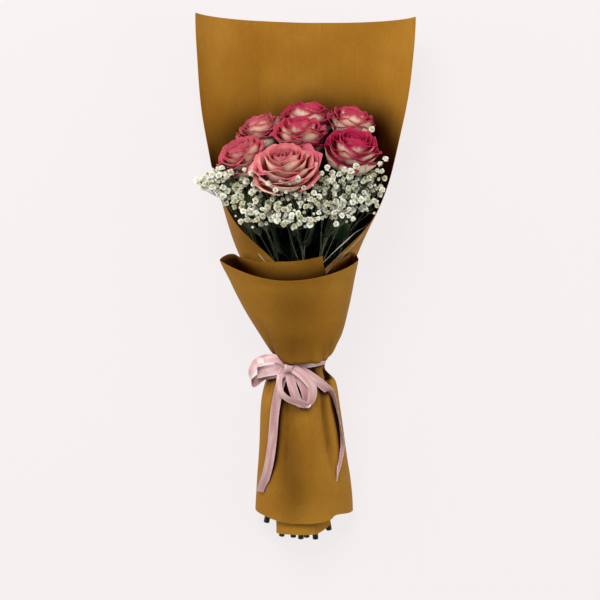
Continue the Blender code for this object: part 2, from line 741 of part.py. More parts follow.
def centre_on_floor():
    """Puts the origin under the middle of the whole bunch."""
    corners = np.array([tuple(v.co) for item in bpy.data.objects for v in item.data.vertices])
    low, high = corners.min(axis=0), corners.max(axis=0)
    shift = Matrix.Translation((-(low[0] + high[0]) / 2, -(low[1] + high[1]) / 2, -low[2]))
    for item in bpy.data.objects:
        item.data.transform(shift)


def main():
    clear_scene()
    backing_paper()
    clear_film()
    collar_paper()
    stem_twine()
    satin_ribbon()
    for number in range(len(BLOOMS)):
        rose_bloom(number)
        rose_stem(number)
    for number in range(len(SPRAYS)):
        breath_spray(number)
    centre_on_floor()


main()
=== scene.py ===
import json
import math
import random

import bpy
import numpy as np
from mathutils import Matrix, Vector
from mathutils.bvhtree import BVHTree

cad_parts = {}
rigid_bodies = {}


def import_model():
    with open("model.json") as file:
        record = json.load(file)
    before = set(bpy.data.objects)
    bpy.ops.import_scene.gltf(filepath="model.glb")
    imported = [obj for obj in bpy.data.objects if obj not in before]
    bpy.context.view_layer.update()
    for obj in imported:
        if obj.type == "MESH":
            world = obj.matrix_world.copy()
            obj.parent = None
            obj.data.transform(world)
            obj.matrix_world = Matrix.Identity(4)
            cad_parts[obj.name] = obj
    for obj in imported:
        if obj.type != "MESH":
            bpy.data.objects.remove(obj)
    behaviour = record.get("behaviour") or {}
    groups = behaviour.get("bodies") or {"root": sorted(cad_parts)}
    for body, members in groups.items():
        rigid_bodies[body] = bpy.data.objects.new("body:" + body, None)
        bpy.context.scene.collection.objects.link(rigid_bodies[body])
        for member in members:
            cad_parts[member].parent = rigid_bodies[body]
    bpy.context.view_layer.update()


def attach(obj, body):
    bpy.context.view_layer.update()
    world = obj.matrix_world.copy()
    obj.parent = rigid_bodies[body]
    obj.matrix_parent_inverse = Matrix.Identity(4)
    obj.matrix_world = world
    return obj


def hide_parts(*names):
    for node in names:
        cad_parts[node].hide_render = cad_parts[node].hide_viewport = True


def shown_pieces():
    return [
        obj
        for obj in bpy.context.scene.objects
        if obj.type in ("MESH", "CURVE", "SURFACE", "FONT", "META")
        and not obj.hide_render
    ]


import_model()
print("frame loaded")

# All places below are in metres. Y is counted from the cut stems, X from the waist, and frameOrigin
# moves them into the frame, whose origin is under the middle of the bunch.
frameOrigin = np.array([0.00488, 0.29618, 0.0])
waist = dict(y=0.208, z=0.057)


# Small helpers


def mix(a, b, t):
    return a + (b - a) * t


def smoothStep(low, high, x):
    t = np.clip((np.asarray(x, dtype=float) - low) / (high - low), 0.0, 1.0)
    return t * t * (3 - 2 * t)


def bump(x, centre, width):
    return np.exp(-(((x - centre) / width) ** 2))


def softWaves(places, seed, length, count=7):
    # Smooth uneven waves over a set of places, about -1 to 1
    draws = random.Random(seed)
    total = np.zeros(places.shape[:-1])
    for _ in range(count):
        way = np.array([draws.gauss(0, 1) for _ in range(3)])
        way *= draws.uniform(0.6, 1.5) * 2 * math.pi / (length * np.linalg.norm(way))
        total += np.sin(places @ way + draws.uniform(0, 2 * math.pi))
    return total / math.sqrt(count)


def unit(vectors):
    return vectors / np.maximum(np.linalg.norm(vectors, axis=-1, keepdims=True), 1e-9)


def smoothPath(points, steps):
    # A Catmull-Rom curve through the points, steps places to each stretch
    points = np.array(points, dtype=float)
    ends = np.vstack([2 * points[0] - points[1], points, 2 * points[-1] - points[-2]])
    out = []
    for k in range(1, len(ends) - 2):
        a, b, c, d = ends[k - 1 : k + 3]
        square = 2 * a - 5 * b + 4 * c - d
        cube = 3 * b - a - 3 * c + d
        for t in np.linspace(0, 1, steps, endpoint=False):
            out.append(0.5 * (2 * b + (c - a) * t + square * t**2 + cube * t**3))
    out.append(points[-1])
    return np.array(out)


def roundedPath(points, rounds=3):
    # A curve that cuts the corners of a line of points and never leaves their hull
    points = np.array(points, dtype=float)
    for _ in range(rounds):
        near = points[:-1] * 0.75 + points[1:] * 0.25
        far = points[:-1] * 0.25 + points[1:] * 0.75
        middle = np.stack([near, far], axis=1).reshape(-1, 3)
        points = np.vstack([points[:1], middle[1:-1], points[-1:]])
    return [Vector(p) for p in points]


def spread(stretches):
    # Even steps over each stretch: from, to, count
    return np.concatenate([np.linspace(*stretch) for stretch in stretches])


def gridNormals(grid):
    across = np.gradient(grid, axis=1)
    along = np.gradient(grid, axis=0)
    return unit(np.cross(across, along))


def gridQuads(rows, columns, start=0):
    at = start + np.arange(rows * columns).reshape(rows, columns)
    return np.stack([at[:-1, :-1], at[:-1, 1:], at[1:, 1:], at[1:, :-1]], axis=-1).reshape(-1, 4)


def thickSheet(grid, thickness, across, along):
    # A closed sheet: the grid is one face and the wall lies behind it. across and along are its UV.
    rows, columns = grid.shape[:2]
    count = rows * columns
    behind = grid - gridNormals(grid) * thickness
    places = np.concatenate([grid.reshape(-1, 3), behind.reshape(-1, 3)])
    front = gridQuads(rows, columns)
    back = gridQuads(rows, columns, count)[:, ::-1]
    at = np.arange(count).reshape(rows, columns)
    rim = np.concatenate([at[0, :-1], at[:-1, -1], at[-1, :0:-1], at[:0:-1, 0]])
    after = np.roll(rim, -1)
    edge = np.stack([rim, rim + count, after + count, after], axis=-1)
    uv = np.stack([np.broadcast_to(values, (rows, columns)) for values in (across, along)], axis=-1)
    side = np.repeat([0.0, 1.0], count)
    return places, np.concatenate([front, back, edge]), np.tile(uv.reshape(-1, 2), (2, 1)), side


def addMark(mesh, mark, values, kind="FLOAT", key="value"):
    mesh.attributes.new(mark, kind, "POINT").data.foreach_set(key, values)


def newPiece(name, places, faces, materials, uv=None, marks=None, sharp=50):
    # A mesh object in the frame. uv and marks hold one value for each place.
    mesh = bpy.data.meshes.new(name)
    mesh.from_pydata((np.asarray(places) - frameOrigin).tolist(), [], [list(f) for f in faces])
    for material in materials:
        mesh.materials.append(material)
    if uv is not None:
        corners = np.empty(len(mesh.loops), dtype=np.int32)
        mesh.loops.foreach_get("vertex_index", corners)
        layer = mesh.uv_layers.new(name="UVMap")
        layer.data.foreach_set("uv", np.asarray(uv, dtype=np.float32)[corners].ravel())
    for mark, values in (marks or {}).items():
        addMark(mesh, mark, np.asarray(values, dtype=np.float32))
    mesh.update()
    mesh.shade_smooth()
    mesh.set_sharp_from_angle(angle=math.radians(sharp))
    piece = bpy.data.objects.new(name, mesh)
    bpy.context.scene.collection.objects.link(piece)
    return piece


def standsFor(piece, slot, *nodes):
    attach(piece, "root")
    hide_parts(*nodes)
    return piece


class Parts:
    # Gathers meshes into one, with their uv and marks

    def __init__(self):
        self.places, self.faces, self.uv, self.marks, self.count = [], [], [], {}, 0

    def add(self, places, faces, uv, **marks):
        self.faces += [[int(k) + self.count for k in f] for f in faces]
        self.places.append(places)
        self.uv.append(uv)
        for mark, values in marks.items():
            self.marks.setdefault(mark, []).append(np.broadcast_to(values, (len(places),)))
        self.count += len(places)

    def piece(self, name, material, sharp):
        marks = {mark: np.concatenate(values) for mark, values in self.marks.items()}
        places, uv = np.concatenate(self.places), np.concatenate(self.uv)
        return newPiece(name, places, self.faces, [material], uv, marks, sharp)


# Painted shade: how closed in each place is, kept as an attribute that the materials darken their colour by

shade = dict(rays=12, quickRays=5, lift=0.0004, goldenAngle=2.39996)


def readMesh(piece):
    mesh = piece.data
    places = np.empty(len(mesh.vertices) * 3)
    mesh.vertices.foreach_get("co", places)
    normals = np.empty(len(mesh.vertices) * 3)
    mesh.vertices.foreach_get("normal", normals)
    return places.reshape(-1, 3), normals.reshape(-1, 3)


def makeBlockers(pieces):
    places, faces, count = [], [], 0
    for piece in pieces:
        own = readMesh(piece)[0]
        places += own.tolist()
        faces += [[k + count for k in face.vertices] for face in piece.data.polygons]
        count += len(own)
    return BVHTree.FromPolygons(places, faces)


def shareOut(piece, values, rounds):
    # Averages the values over each place's neighbours on its own side of the wall
    mesh = piece.data
    edges = np.empty(len(mesh.edges) * 2, dtype=np.int32)
    mesh.edges.foreach_get("vertices", edges)
    first, second = edges[::2], edges[1::2]
    if "side" in mesh.attributes:
        sides = np.zeros(len(values))
        mesh.attributes["side"].data.foreach_get("value", sides)
        same = sides[first] == sides[second]
        first, second = first[same], second[same]
    for _ in range(rounds):
        total, weight = values.copy(), np.ones(len(values))
        for own, other in ((first, second), (second, first)):
            np.add.at(total, own, values[other])
            np.add.at(weight, own, 1)
        values = total / weight
    return values


def bakeShade(piece, blockers, reach, soften=3):
    # Bakes painted shade: the share of short rays from each place that hit something nearby
    places, normals = readMesh(piece)
    count = shade["rays"]
    draws = np.random.default_rng(7)
    spin = draws.uniform(0, math.tau, len(places))
    aside = np.where(np.abs(normals[:, :1]) > 0.8, [[0.0, 1.0, 0.0]], [[1.0, 0.0, 0.0]])
    tangent = unit(np.cross(normals, aside))
    other = np.cross(normals, tangent)
    starts = (places + normals * shade["lift"]).tolist()
    closed = np.zeros(len(places))
    for k in range(count):
        out = math.sqrt((k + 0.5) / count)
        up = math.sqrt(1 - out * out)
        angle = spin + k * shade["goldenAngle"]
        ways = tangent * (out * np.cos(angle))[:, None] + other * (out * np.sin(angle))[:, None]
        ways = ways + normals * up
        for n, (start, way) in enumerate(zip(starts, ways.tolist())):
            distance = blockers.ray_cast(start, way, reach)[3]
            if distance is not None:
                closed[n] += 1 - distance / reach
    closed = shareOut(piece, closed / count, soften)
    addMark(piece.data, "closed", closed.astype(np.float32))


def changeShade(piece, change):
    closed = piece.data.attributes["closed"].data
    values = np.zeros(len(closed))
    closed.foreach_get("value", values)
    closed.foreach_set("value", np.clip(change(values), 0, 1).astype(np.float32))


def leanShade(piece, amount):
    # Makes the painted shade stronger on the right than on the left
    across = readMesh(piece)[0][:, 0]
    changeShade(piece, lambda values: values * (1 + amount * across))


def shadeAreas(piece, areas):
    # Adds soft painted shade to a sheet's front: X, Y, reach along X and along Y, amount
    places, normals = readMesh(piece)
    x, y = (places + frameOrigin)[:, :2].T
    facing = smoothStep(0.1, 0.5, normals[:, 2])

    def darken(values):
        for middleX, middleY, reachX, reachY, amount in areas:
            values = values + amount * facing * bump(x, middleX, reachX) * bump(y, middleY, reachY)
        return values

    changeShade(piece, darken)


# Nodes: what the materials and the growth tree are built from


def newGroup(name, inputs, outputs, kind="ShaderNodeTree"):
    group = bpy.data.node_groups.new(name, kind)
    for label, socketKind, value in inputs:
        socket = group.interface.new_socket(name=label, in_out="INPUT", socket_type=socketKind)
        if value is not None:
            socket.default_value = value
    for label, socketKind in outputs:
        group.interface.new_socket(name=label, in_out="OUTPUT", socket_type=socketKind)
    return group, group.nodes.new("NodeGroupInput").outputs, group.nodes.new("NodeGroupOutput").inputs


def addNode(tree, kind, links=None, values=None, **settings):
    node = tree.nodes.new(kind)
    for key, value in settings.items():
        setattr(node, key, value)
    for key, value in (values or {}).items():
        node.inputs[key].default_value = value
    for key, source in (links or {}).items():
        tree.links.new(source, node.inputs[key])
    return node


def maths(tree, operation, a, b=None):
    node = addNode(tree, "ShaderNodeMath", operation=operation)
    for k, value in enumerate((a, b)):
        if isinstance(value, (int, float)):
            node.inputs[k].default_value = value
        elif value is not None:
            tree.links.new(value, node.inputs[k])
    return node.outputs[0]


def times(tree, a, b):
    return maths(tree, "MULTIPLY", a, b)


def plus(tree, a, b):
    return maths(tree, "ADD", a, b)


def minus(tree, a, b):
    return maths(tree, "SUBTRACT", a, b)


def span(tree, value, low, high, outLow=0.0, outHigh=1.0):
    # Low to high becomes outLow to outHigh, with soft ends
    ranges = {"From Min": low, "From Max": high, "To Min": outLow, "To Max": outHigh}
    node = addNode(tree, "ShaderNodeMapRange", {"Value": value}, ranges, interpolation_type="SMOOTHSTEP")
    return node.outputs["Result"]


def colourMix(tree, factor, a, b, blend="MIX"):
    node = addNode(tree, "ShaderNodeMix", data_type="RGBA", blend_type=blend)
    for key, value in ((0, factor), (6, a), (7, b)):
        if isinstance(value, (int, float)):
            node.inputs[key].default_value = value
        elif isinstance(value, tuple):
            node.inputs[key].default_value = (*value, 1.0)
        else:
            tree.links.new(value, node.inputs[key])
    return node.outputs[2]


def noise(tree, vector, scale, detail=2.0, rough=0.5):
    values = {"Scale": scale, "Detail": detail, "Roughness": rough}
    return addNode(tree, "ShaderNodeTexNoise", {"Vector": vector}, values).outputs["Fac"]


def stretched(tree, vector, stretch, scale, detail=2.0, rough=0.5):
    # Noise on a place that is first scaled along each axis
    longer = addNode(tree, "ShaderNodeMapping", {"Vector": vector}, {"Scale": stretch}).outputs["Vector"]
    return noise(tree, longer, scale, detail, rough)


def objectPlace(tree):
    return addNode(tree, "ShaderNodeTexCoord").outputs["Object"]


def ownUv(tree):
    return addNode(tree, "ShaderNodeUVMap", uv_map="UVMap").outputs[0]


def attribute(tree, name):
    return addNode(tree, "ShaderNodeAttribute", attribute_name=name).outputs["Fac"]


def makeMottleGroup():
    # Soft uneven light and dark, for paper and petals
    inputs = [
        ("Vector", "NodeSocketVector", None), ("Scale", "NodeSocketFloat", 20.0),
        ("Amount", "NodeSocketFloat", 0.1),
    ]
    group, given, result = newGroup("mottle", inputs, [("Value", "NodeSocketFloat")])
    links = {"Vector": given["Vector"], "Scale": given["Scale"]}
    broad = addNode(group, "ShaderNodeTexNoise", links, {"Detail": 4.0}).outputs["Fac"]
    uneven = times(group, minus(group, broad, 0.5), given["Amount"])
    group.links.new(plus(group, uneven, 1.0), result[0])
    return group


def makeFibreGroup():
    # Short pale and dark fibres pressed into paper, and the height of its tooth
    group, given, result = newGroup(
        "paperFibre",
        [("Vector", "NodeSocketVector", None), ("Scale", "NodeSocketFloat", 900.0)],
        [("Fibre", "NodeSocketFloat"), ("Height", "NodeSocketFloat")],
    )
    links = {0: given["Vector"], "Scale": given["Scale"]}
    scaled = addNode(group, "ShaderNodeVectorMath", links, operation="SCALE").outputs[0]
    along = stretched(group, scaled, (1.0, 0.18, 1.0), 1.0, 3.0, 0.6)
    across = stretched(group, scaled, (0.22, 1.0, 1.0), 1.0, 2.0, 0.6)
    both = times(group, along, across)
    group.links.new(span(group, both, 0.12, 0.42), result["Fibre"])
    group.links.new(plus(group, both, times(group, along, 0.4)), result["Height"])
    return group


mottleGroup = makeMottleGroup()
fibreGroup = makeFibreGroup()


def newMaterial(name, **constants):
    # A material with its own Principled BSDF; constants are set on that shader's sockets
    material = bpy.data.materials.new(name)
    material.use_nodes = True
    shader = material.node_tree.nodes["Principled BSDF"]
    for label, value in constants.items():
        shader.inputs[label.replace("_", " ")].default_value = value
    return material, material.node_tree, shader


def mottle(tree, vector, scale, amount):
    values = {"Scale": scale, "Amount": amount}
    return addNode(tree, "ShaderNodeGroup", {"Vector": vector}, values, node_tree=mottleGroup).outputs[0]


def shaded(tree, colour, value):
    # A colour made lighter or darker by a value round 1
    grey = addNode(tree, "ShaderNodeCombineColor", {0: value, 1: value, 2: value})
    return colourMix(tree, 1.0, colour, grey.outputs[0], "MULTIPLY")


def paintShade(tree, shader, colour, deep, low, high):
    # Painted shade: the base colour, moved towards itself times deep where the place is closed in
    closed = span(tree, attribute(tree, "closed"), low, high)
    darker = colourMix(tree, 1.0, colour, deep, "MULTIPLY")
    tree.links.new(colourMix(tree, closed, colour, darker), shader.inputs["Base Color"])


def bumped(tree, shader, height, strength, distance):
    node = addNode(tree, "ShaderNodeBump", {"Height": height}, {"Strength": strength, "Distance": distance})
    tree.links.new(node.outputs[0], shader.inputs["Normal"])


# deep is the tint of the painted shade in hollows, loops and beside the flowers
paperLook = dict(
    brown=(0.275, 0.120, 0.011), pale=(0.355, 0.168, 0.021), dark=(0.16, 0.064, 0.006),
    deep=(0.08, 0.03, 0.02), patchScale=9.0, mottle=(160.0, 0.14), ribScale=520.0, ribs=(0.975, 1.025),
    flecks=0.22, roughness=(0.56, 0.70), creaseScale=38.0, creases=1.6, tooth=0.10, bump=(0.35, 0.0012),
)


def makePaperMaterial(name, low, high):
    look = paperLook
    material, tree, shader = newMaterial(name, Specular_IOR_Level=0.05)
    place = objectPlace(tree)
    fibre = addNode(tree, "ShaderNodeGroup", {"Vector": place}, node_tree=fibreGroup).outputs
    patches = span(tree, noise(tree, place, look["patchScale"], 3.0), 0.35, 0.7)
    brown = colourMix(tree, patches, look["brown"], look["pale"])
    brown = shaded(tree, brown, mottle(tree, place, *look["mottle"]))
    ribs = stretched(tree, place, (1.0, 0.03, 1.0), look["ribScale"], 1.0)
    brown = shaded(tree, brown, span(tree, ribs, 0.25, 0.75, *look["ribs"]))
    brown = colourMix(tree, times(tree, fibre["Fibre"], look["flecks"]), brown, look["dark"])
    paintShade(tree, shader, brown, look["deep"], low, high)
    tree.links.new(span(tree, fibre["Fibre"], 0, 1, *look["roughness"]), shader.inputs["Roughness"])
    creases = stretched(tree, place, (1.0, 0.4, 1.0), look["creaseScale"], 3.0, 0.55)
    tooth = times(tree, fibre["Height"], look["tooth"])
    bumped(tree, shader, plus(tree, times(tree, creases, look["creases"]), tooth), *look["bump"])
    return material


petalLook = dict(
    cream=(0.97, 0.66, 0.47), salmon=(0.76, 0.26, 0.245), rose=(0.62, 0.120, 0.155), rim=(0.42, 0.008, 0.060),
    green=(0.46, 0.38, 0.16), deep=(0.32, 0.03, 0.08), softEdge=(0.34, 0.98), hardEdge=(0.60, 1.16),
    veinStretch=(38.0, 1.6, 1.0), streakStretch=(9.0, 1.2, 1.0), mottle=(14.0, 0.16), bump=(0.30, 0.0006),
)


def makePetalMaterial():
    # Cream at the petal's foot, salmon above, a magenta rim that bleeds down along the veins
    look = petalLook
    material, tree, shader = newMaterial(
        "petal", Roughness=0.55, Specular_IOR_Level=0.14, Subsurface_Weight=0.45, Subsurface_Scale=0.007,
        Subsurface_Radius=(1.0, 0.45, 0.35),
    )
    uv = ownUv(tree)
    edge, blush, tone = (attribute(tree, name) for name in ("edge", "blush", "tone"))
    shift = addNode(tree, "ShaderNodeCombineXYZ", {"X": tone, "Y": blush}).outputs[0]
    moved = addNode(tree, "ShaderNodeVectorMath", {0: uv, 1: shift}, operation="ADD").outputs[0]
    veins = stretched(tree, moved, look["veinStretch"], 1.0, 3.0, 0.55)
    streaks = stretched(tree, moved, look["streakStretch"], 1.0, 2.0, 0.5)
    uneven = plus(tree, times(tree, veins, 0.22), times(tree, streaks, 0.5))
    level = plus(tree, edge, minus(tree, uneven, 0.36))
    level = plus(tree, level, span(tree, tone, 0.0, 1.0, -0.10, 0.14))
    soft = span(tree, plus(tree, level, blush), *look["softEdge"])
    hard = span(tree, plus(tree, level, times(tree, blush, 0.55)), *look["hardEdge"])
    rim = colourMix(tree, tone, look["rose"], look["rim"])
    pink = colourMix(tree, tone, look["salmon"], rim)
    colour = colourMix(tree, soft, look["cream"], look["salmon"])
    colour = colourMix(tree, times(tree, soft, tone), colour, pink)
    colour = colourMix(tree, hard, colour, rim)
    foot = span(tree, addNode(tree, "ShaderNodeSeparateXYZ", {0: uv}).outputs["Y"], 0.0, 0.30, 0.22, 0.0)
    colour = colourMix(tree, foot, colour, look["green"])
    colour = shaded(tree, colour, mottle(tree, moved, *look["mottle"]))
    # Painted shade: deep crimson where the petals are closed in, between them and in the heart
    paintShade(tree, shader, colour, look["deep"], 0.42, 0.88)
    bumped(tree, shader, veins, *look["bump"])
    return material


leafLook = dict(
    deep=(0.005, 0.016, 0.005), mid=(0.012, 0.034, 0.010), vein=(0.035, 0.070, 0.024),
    closed=(0.06, 0.10, 0.05), veins=26.0, slant=0.75, bump=(0.5, 0.0004),
)


def makeLeafMaterial():
    look = leafLook
    material, tree, shader = newMaterial("roseLeaf", Roughness=0.5, Specular_IOR_Level=0.28)
    place = objectPlace(tree)
    split = addNode(tree, "ShaderNodeSeparateXYZ", {0: ownUv(tree)}).outputs
    across = maths(tree, "ABSOLUTE", minus(tree, split["X"], 0.5))
    slanted = minus(tree, split["Y"], times(tree, across, look["slant"]))
    ribs = maths(tree, "ABSOLUTE", maths(tree, "SINE", times(tree, slanted, look["veins"])))
    sideVein = span(tree, ribs, 0.0, 0.22, 1.0, 0.0)
    midVein = span(tree, across, 0.0, 0.03, 1.0, 0.0)
    vein = maths(tree, "MAXIMUM", midVein, times(tree, sideVein, 0.45))
    green = colourMix(tree, span(tree, noise(tree, place, 60.0, 3.0), 0.3, 0.7), look["deep"], look["mid"])
    green = colourMix(tree, vein, green, look["vein"])
    # Painted shade: the leaves darken where they are closed in
    paintShade(tree, shader, green, look["closed"], 0.05, 0.50)
    grain = times(tree, noise(tree, place, 900.0), 0.3)
    bumped(tree, shader, minus(tree, grain, vein), *look["bump"])
    return material


def makeStalkMaterial(name, light, dark, roughness, low=0.10, high=0.60):
    material, tree, shader = newMaterial(name, Roughness=roughness, Specular_IOR_Level=0.28)
    streak = stretched(tree, objectPlace(tree), (3.0, 0.25, 3.0), 300.0, 3.0)
    colour = colourMix(tree, span(tree, streak, 0.3, 0.7), light, dark)
    # Painted shade: the stalks darken where they are closed in
    paintShade(tree, shader, colour, (0.15, 0.18, 0.15), low, high)
    bumped(tree, shader, streak, 0.4, 0.0003)
    return material


breathLook = dict(
    white=(0.88, 0.88, 0.76), cream=(0.60, 0.57, 0.37), heart=(0.64, 0.64, 0.42), deep=(0.22, 0.20, 0.10),
    bump=(0.25, 0.0002),
)


def makeFloretMaterial():
    look = breathLook
    material, tree, shader = newMaterial(
        "breathFloret", Roughness=0.6, Subsurface_Weight=0.1, Subsurface_Scale=0.002,
    )
    place = objectPlace(tree)
    aged = span(tree, noise(tree, place, 60.0, 1.0), 0.42, 0.66, 0.0, 0.85)
    white = colourMix(tree, aged, look["white"], look["cream"])
    colour = colourMix(tree, span(tree, attribute(tree, "tip"), 0.0, 0.45), look["heart"], white)
    # Painted shade: the florets darken towards olive in the gaps between them
    paintShade(tree, shader, colour, look["deep"], 0.54, 0.98)
    bumped(tree, shader, noise(tree, place, 1500.0, 2.0), *look["bump"])
    return material


ribbonLook = dict(
    pink=(0.43, 0.205, 0.21), pale=(0.68, 0.49, 0.465), threads=(0.93, 1.05), roughness=(0.24, 0.38),
    selvedge=(0.40, 0.46), bump=(0.15, 0.0003),
)


def makeSatinMaterial():
    # Satin: fine threads along the ribbon, a soft highlight, woven edges
    look = ribbonLook
    material, tree, shader = newMaterial(
        "satin", Coat_Weight=0.22, Coat_Roughness=0.18, Sheen_Weight=0.35, Sheen_Roughness=0.35,
    )
    uv = ownUv(tree)
    threads = stretched(tree, uv, (90.0, 400.0, 1.0), 1.0, 1.0)
    across = addNode(tree, "ShaderNodeSeparateXYZ", {0: uv}).outputs["X"]
    selvedge = span(tree, maths(tree, "ABSOLUTE", minus(tree, across, 0.5)), *look["selvedge"])
    soft = span(tree, stretched(tree, uv, (1.8, 2.5, 1.0), 1.0, 1.0), 0.30, 0.75, 0.1, 0.8)
    colour = colourMix(tree, soft, look["pink"], look["pale"])
    colour = colourMix(tree, times(tree, selvedge, 0.4), colour, look["pale"])
    colour = shaded(tree, colour, span(tree, threads, 0.2, 0.8, *look["threads"]))
    tree.links.new(colour, shader.inputs["Base Color"])
    tree.links.new(span(tree, threads, 0.2, 0.8, *look["roughness"]), shader.inputs["Roughness"])
    bumped(tree, shader, plus(tree, threads, selvedge), *look["bump"])
    return material


def makeFilmMaterial():
    # Clear film: seen by its gloss and its wrinkles. Its edges, its fold and streaks on its turned-over part
    # are painted glints, drawn as pale, partly opaque lines
    material, tree, shader = newMaterial(
        "clearFilm", Roughness=0.22, Specular_IOR_Level=0.5, Base_Color=(0.90, 0.82, 0.70, 1.0),
    )
    streaks = span(tree, stretched(tree, ownUv(tree), (55.0, 22.0, 1.0), 1.0, 1.0), 0.46, 0.78)
    streaks = times(tree, streaks, span(tree, attribute(tree, "turned"), 0.0, 1.0, 0.002, 0.34))
    paintedGlints = maths(tree, "MAXIMUM", streaks, attribute(tree, "edge"))
    tree.links.new(maths(tree, "MAXIMUM", paintedGlints, 0.001), shader.inputs["Alpha"])
    wrinkles = stretched(tree, objectPlace(tree), (1.0, 0.3, 1.0), 70.0, 3.0, 0.6)
    bumped(tree, shader, wrinkles, 0.3, 0.001)
    return material


# Both kraft papers share one look; the last two numbers set where their painted shade starts and where it is
# full
backMaterial = makePaperMaterial("kraftPaperBack", 0.06, 0.46)
kraftMaterial = makePaperMaterial("kraftPaper", 0.03, 0.42)
petalMaterial = makePetalMaterial()
leafMaterial = makeLeafMaterial()
stemMaterial = makeStalkMaterial("roseStem", (0.016, 0.042, 0.010), (0.006, 0.018, 0.005), 0.5)
breathStalkMaterial = makeStalkMaterial(
    "breathStalk", (0.17, 0.19, 0.11), (0.06, 0.08, 0.04), 0.6, low=0.50, high=1.00,
)
floretMaterial = makeFloretMaterial()
satinMaterial = makeSatinMaterial()
filmMaterial = makeFilmMaterial()
twineMaterial = makeStalkMaterial("twine", (0.33, 0.27, 0.13), (0.18, 0.14, 0.06), 0.9)
print("materials ready")


# The two papers


def readSections(table, y):
    # The section at one Y, on a curve through the table's rows that doesn't overshoot
    keys = [row[0] for row in table]
    y = min(max(y, keys[0]), keys[-1])
    here = min(max(int(np.searchsorted(keys, y)) - 1, 0), len(keys) - 2)
    stretch = keys[here + 1] - keys[here]
    t = (y - keys[here]) / stretch

    def slope(k, column):
        if k == 0 or k == len(keys) - 1:
            return 0.0
        before = (table[k][column] - table[k - 1][column]) / (keys[k] - keys[k - 1])
        after = (table[k + 1][column] - table[k][column]) / (keys[k + 1] - keys[k])
        return 0.0 if before * after <= 0 else 2 * before * after / (before + after)

    values = []
    for column in range(1, len(table[0])):
        low, high = table[here][column], table[here + 1][column]
        start, end = slope(here, column) * stretch, slope(here + 1, column) * stretch
        value = low * (1 + 2 * t) * (1 - t) ** 2 + start * t * (1 - t) ** 2
        values.append(value + high * t * t * (3 - 2 * t) - end * t * t * (1 - t))
    return values


backPaper = dict(
    width=0.300, flat=(0.300, 0.585), thickness=0.00035, rise=0.0013, floorRoom=0.0008, overlap=1.16,
    # Steps up the sheet (0 its hem, 1 the waist, 2 its top edge) and across it
    levels=[(0, 0.8, 30), (0.81, 1.2, 50), (1.21, 2.0, 90)],
    columns=150, hemColumns=[-0.580, -0.572, -0.565, 0.490, 0.497, 0.505],
    # Gathers at the waist: how many, depth, reach, seed. Above the collar: X, width and depth of two broad
    # bends, depth and length of the waves, depth of the wavy sides
    pleats=(14, 0.0011, 0.018, 3), bends=((-0.036, 0.014, 0.0022), (0.050, 0.030, -0.0012)),
    waves=(0.0009, 0.16), wavySides=0.0022,
    # Y, and how far the left and the right side are moved along the sheet there
    leftTurn=(
        (0.25, 0.300, 0.322, 0.352, 0.385, 0.405, 0.440),
        (0.0, 0.0040, 0.0035, -0.0085, -0.0190, -0.0170, 0.0),
    ),
    rightTurn=((0.25, 0.300, 0.335, 0.352, 0.376, 0.400), (0.0, -0.0140, -0.0147, -0.0105, -0.0035, 0.0)),
    # Y of the hem: the flap's end, the left side, the middle, and the tab at the right by its place across
    flapHem=0.0065, leftHem=0.056, hem=0.034, tab=((0.51, 0.70), (0.0150, 0.0062)),
    # Y of the top edge: its middle, how much higher its corners are, how much lower its right side is
    top=(0.5752, 0.0182, 0.0022),
    # Y, half-width, half-height, lowest Z, centre X
    sections=[
        (0.034, 0.0340, 0.0235, -0.0004, 0.002),
        (0.070, 0.0305, 0.0225, 0.0060, 0.002),
        (0.120, 0.0255, 0.0212, 0.0180, 0.001),
        (0.180, 0.0205, 0.0198, 0.0330, 0.000),
        (0.208, 0.0190, 0.0190, 0.0380, 0.000),
        (0.236, 0.0255, 0.0235, 0.0360, 0.000),
        (0.280, 0.0440, 0.0345, 0.0275, 0.000),
        (0.331, 0.0670, 0.0480, 0.0120, -0.001),
        (0.382, 0.0840, 0.0800, -0.0004, 0.002),
        (0.427, 0.0975, 0.0930, -0.0004, 0.004),
        (0.477, 0.1092, 0.0980, -0.0004, 0.005),
        (0.540, 0.1215, 0.1130, -0.0004, 0.0065),
        (0.600, 0.1350, 0.1360, -0.0004, 0.0075),
    ],
)
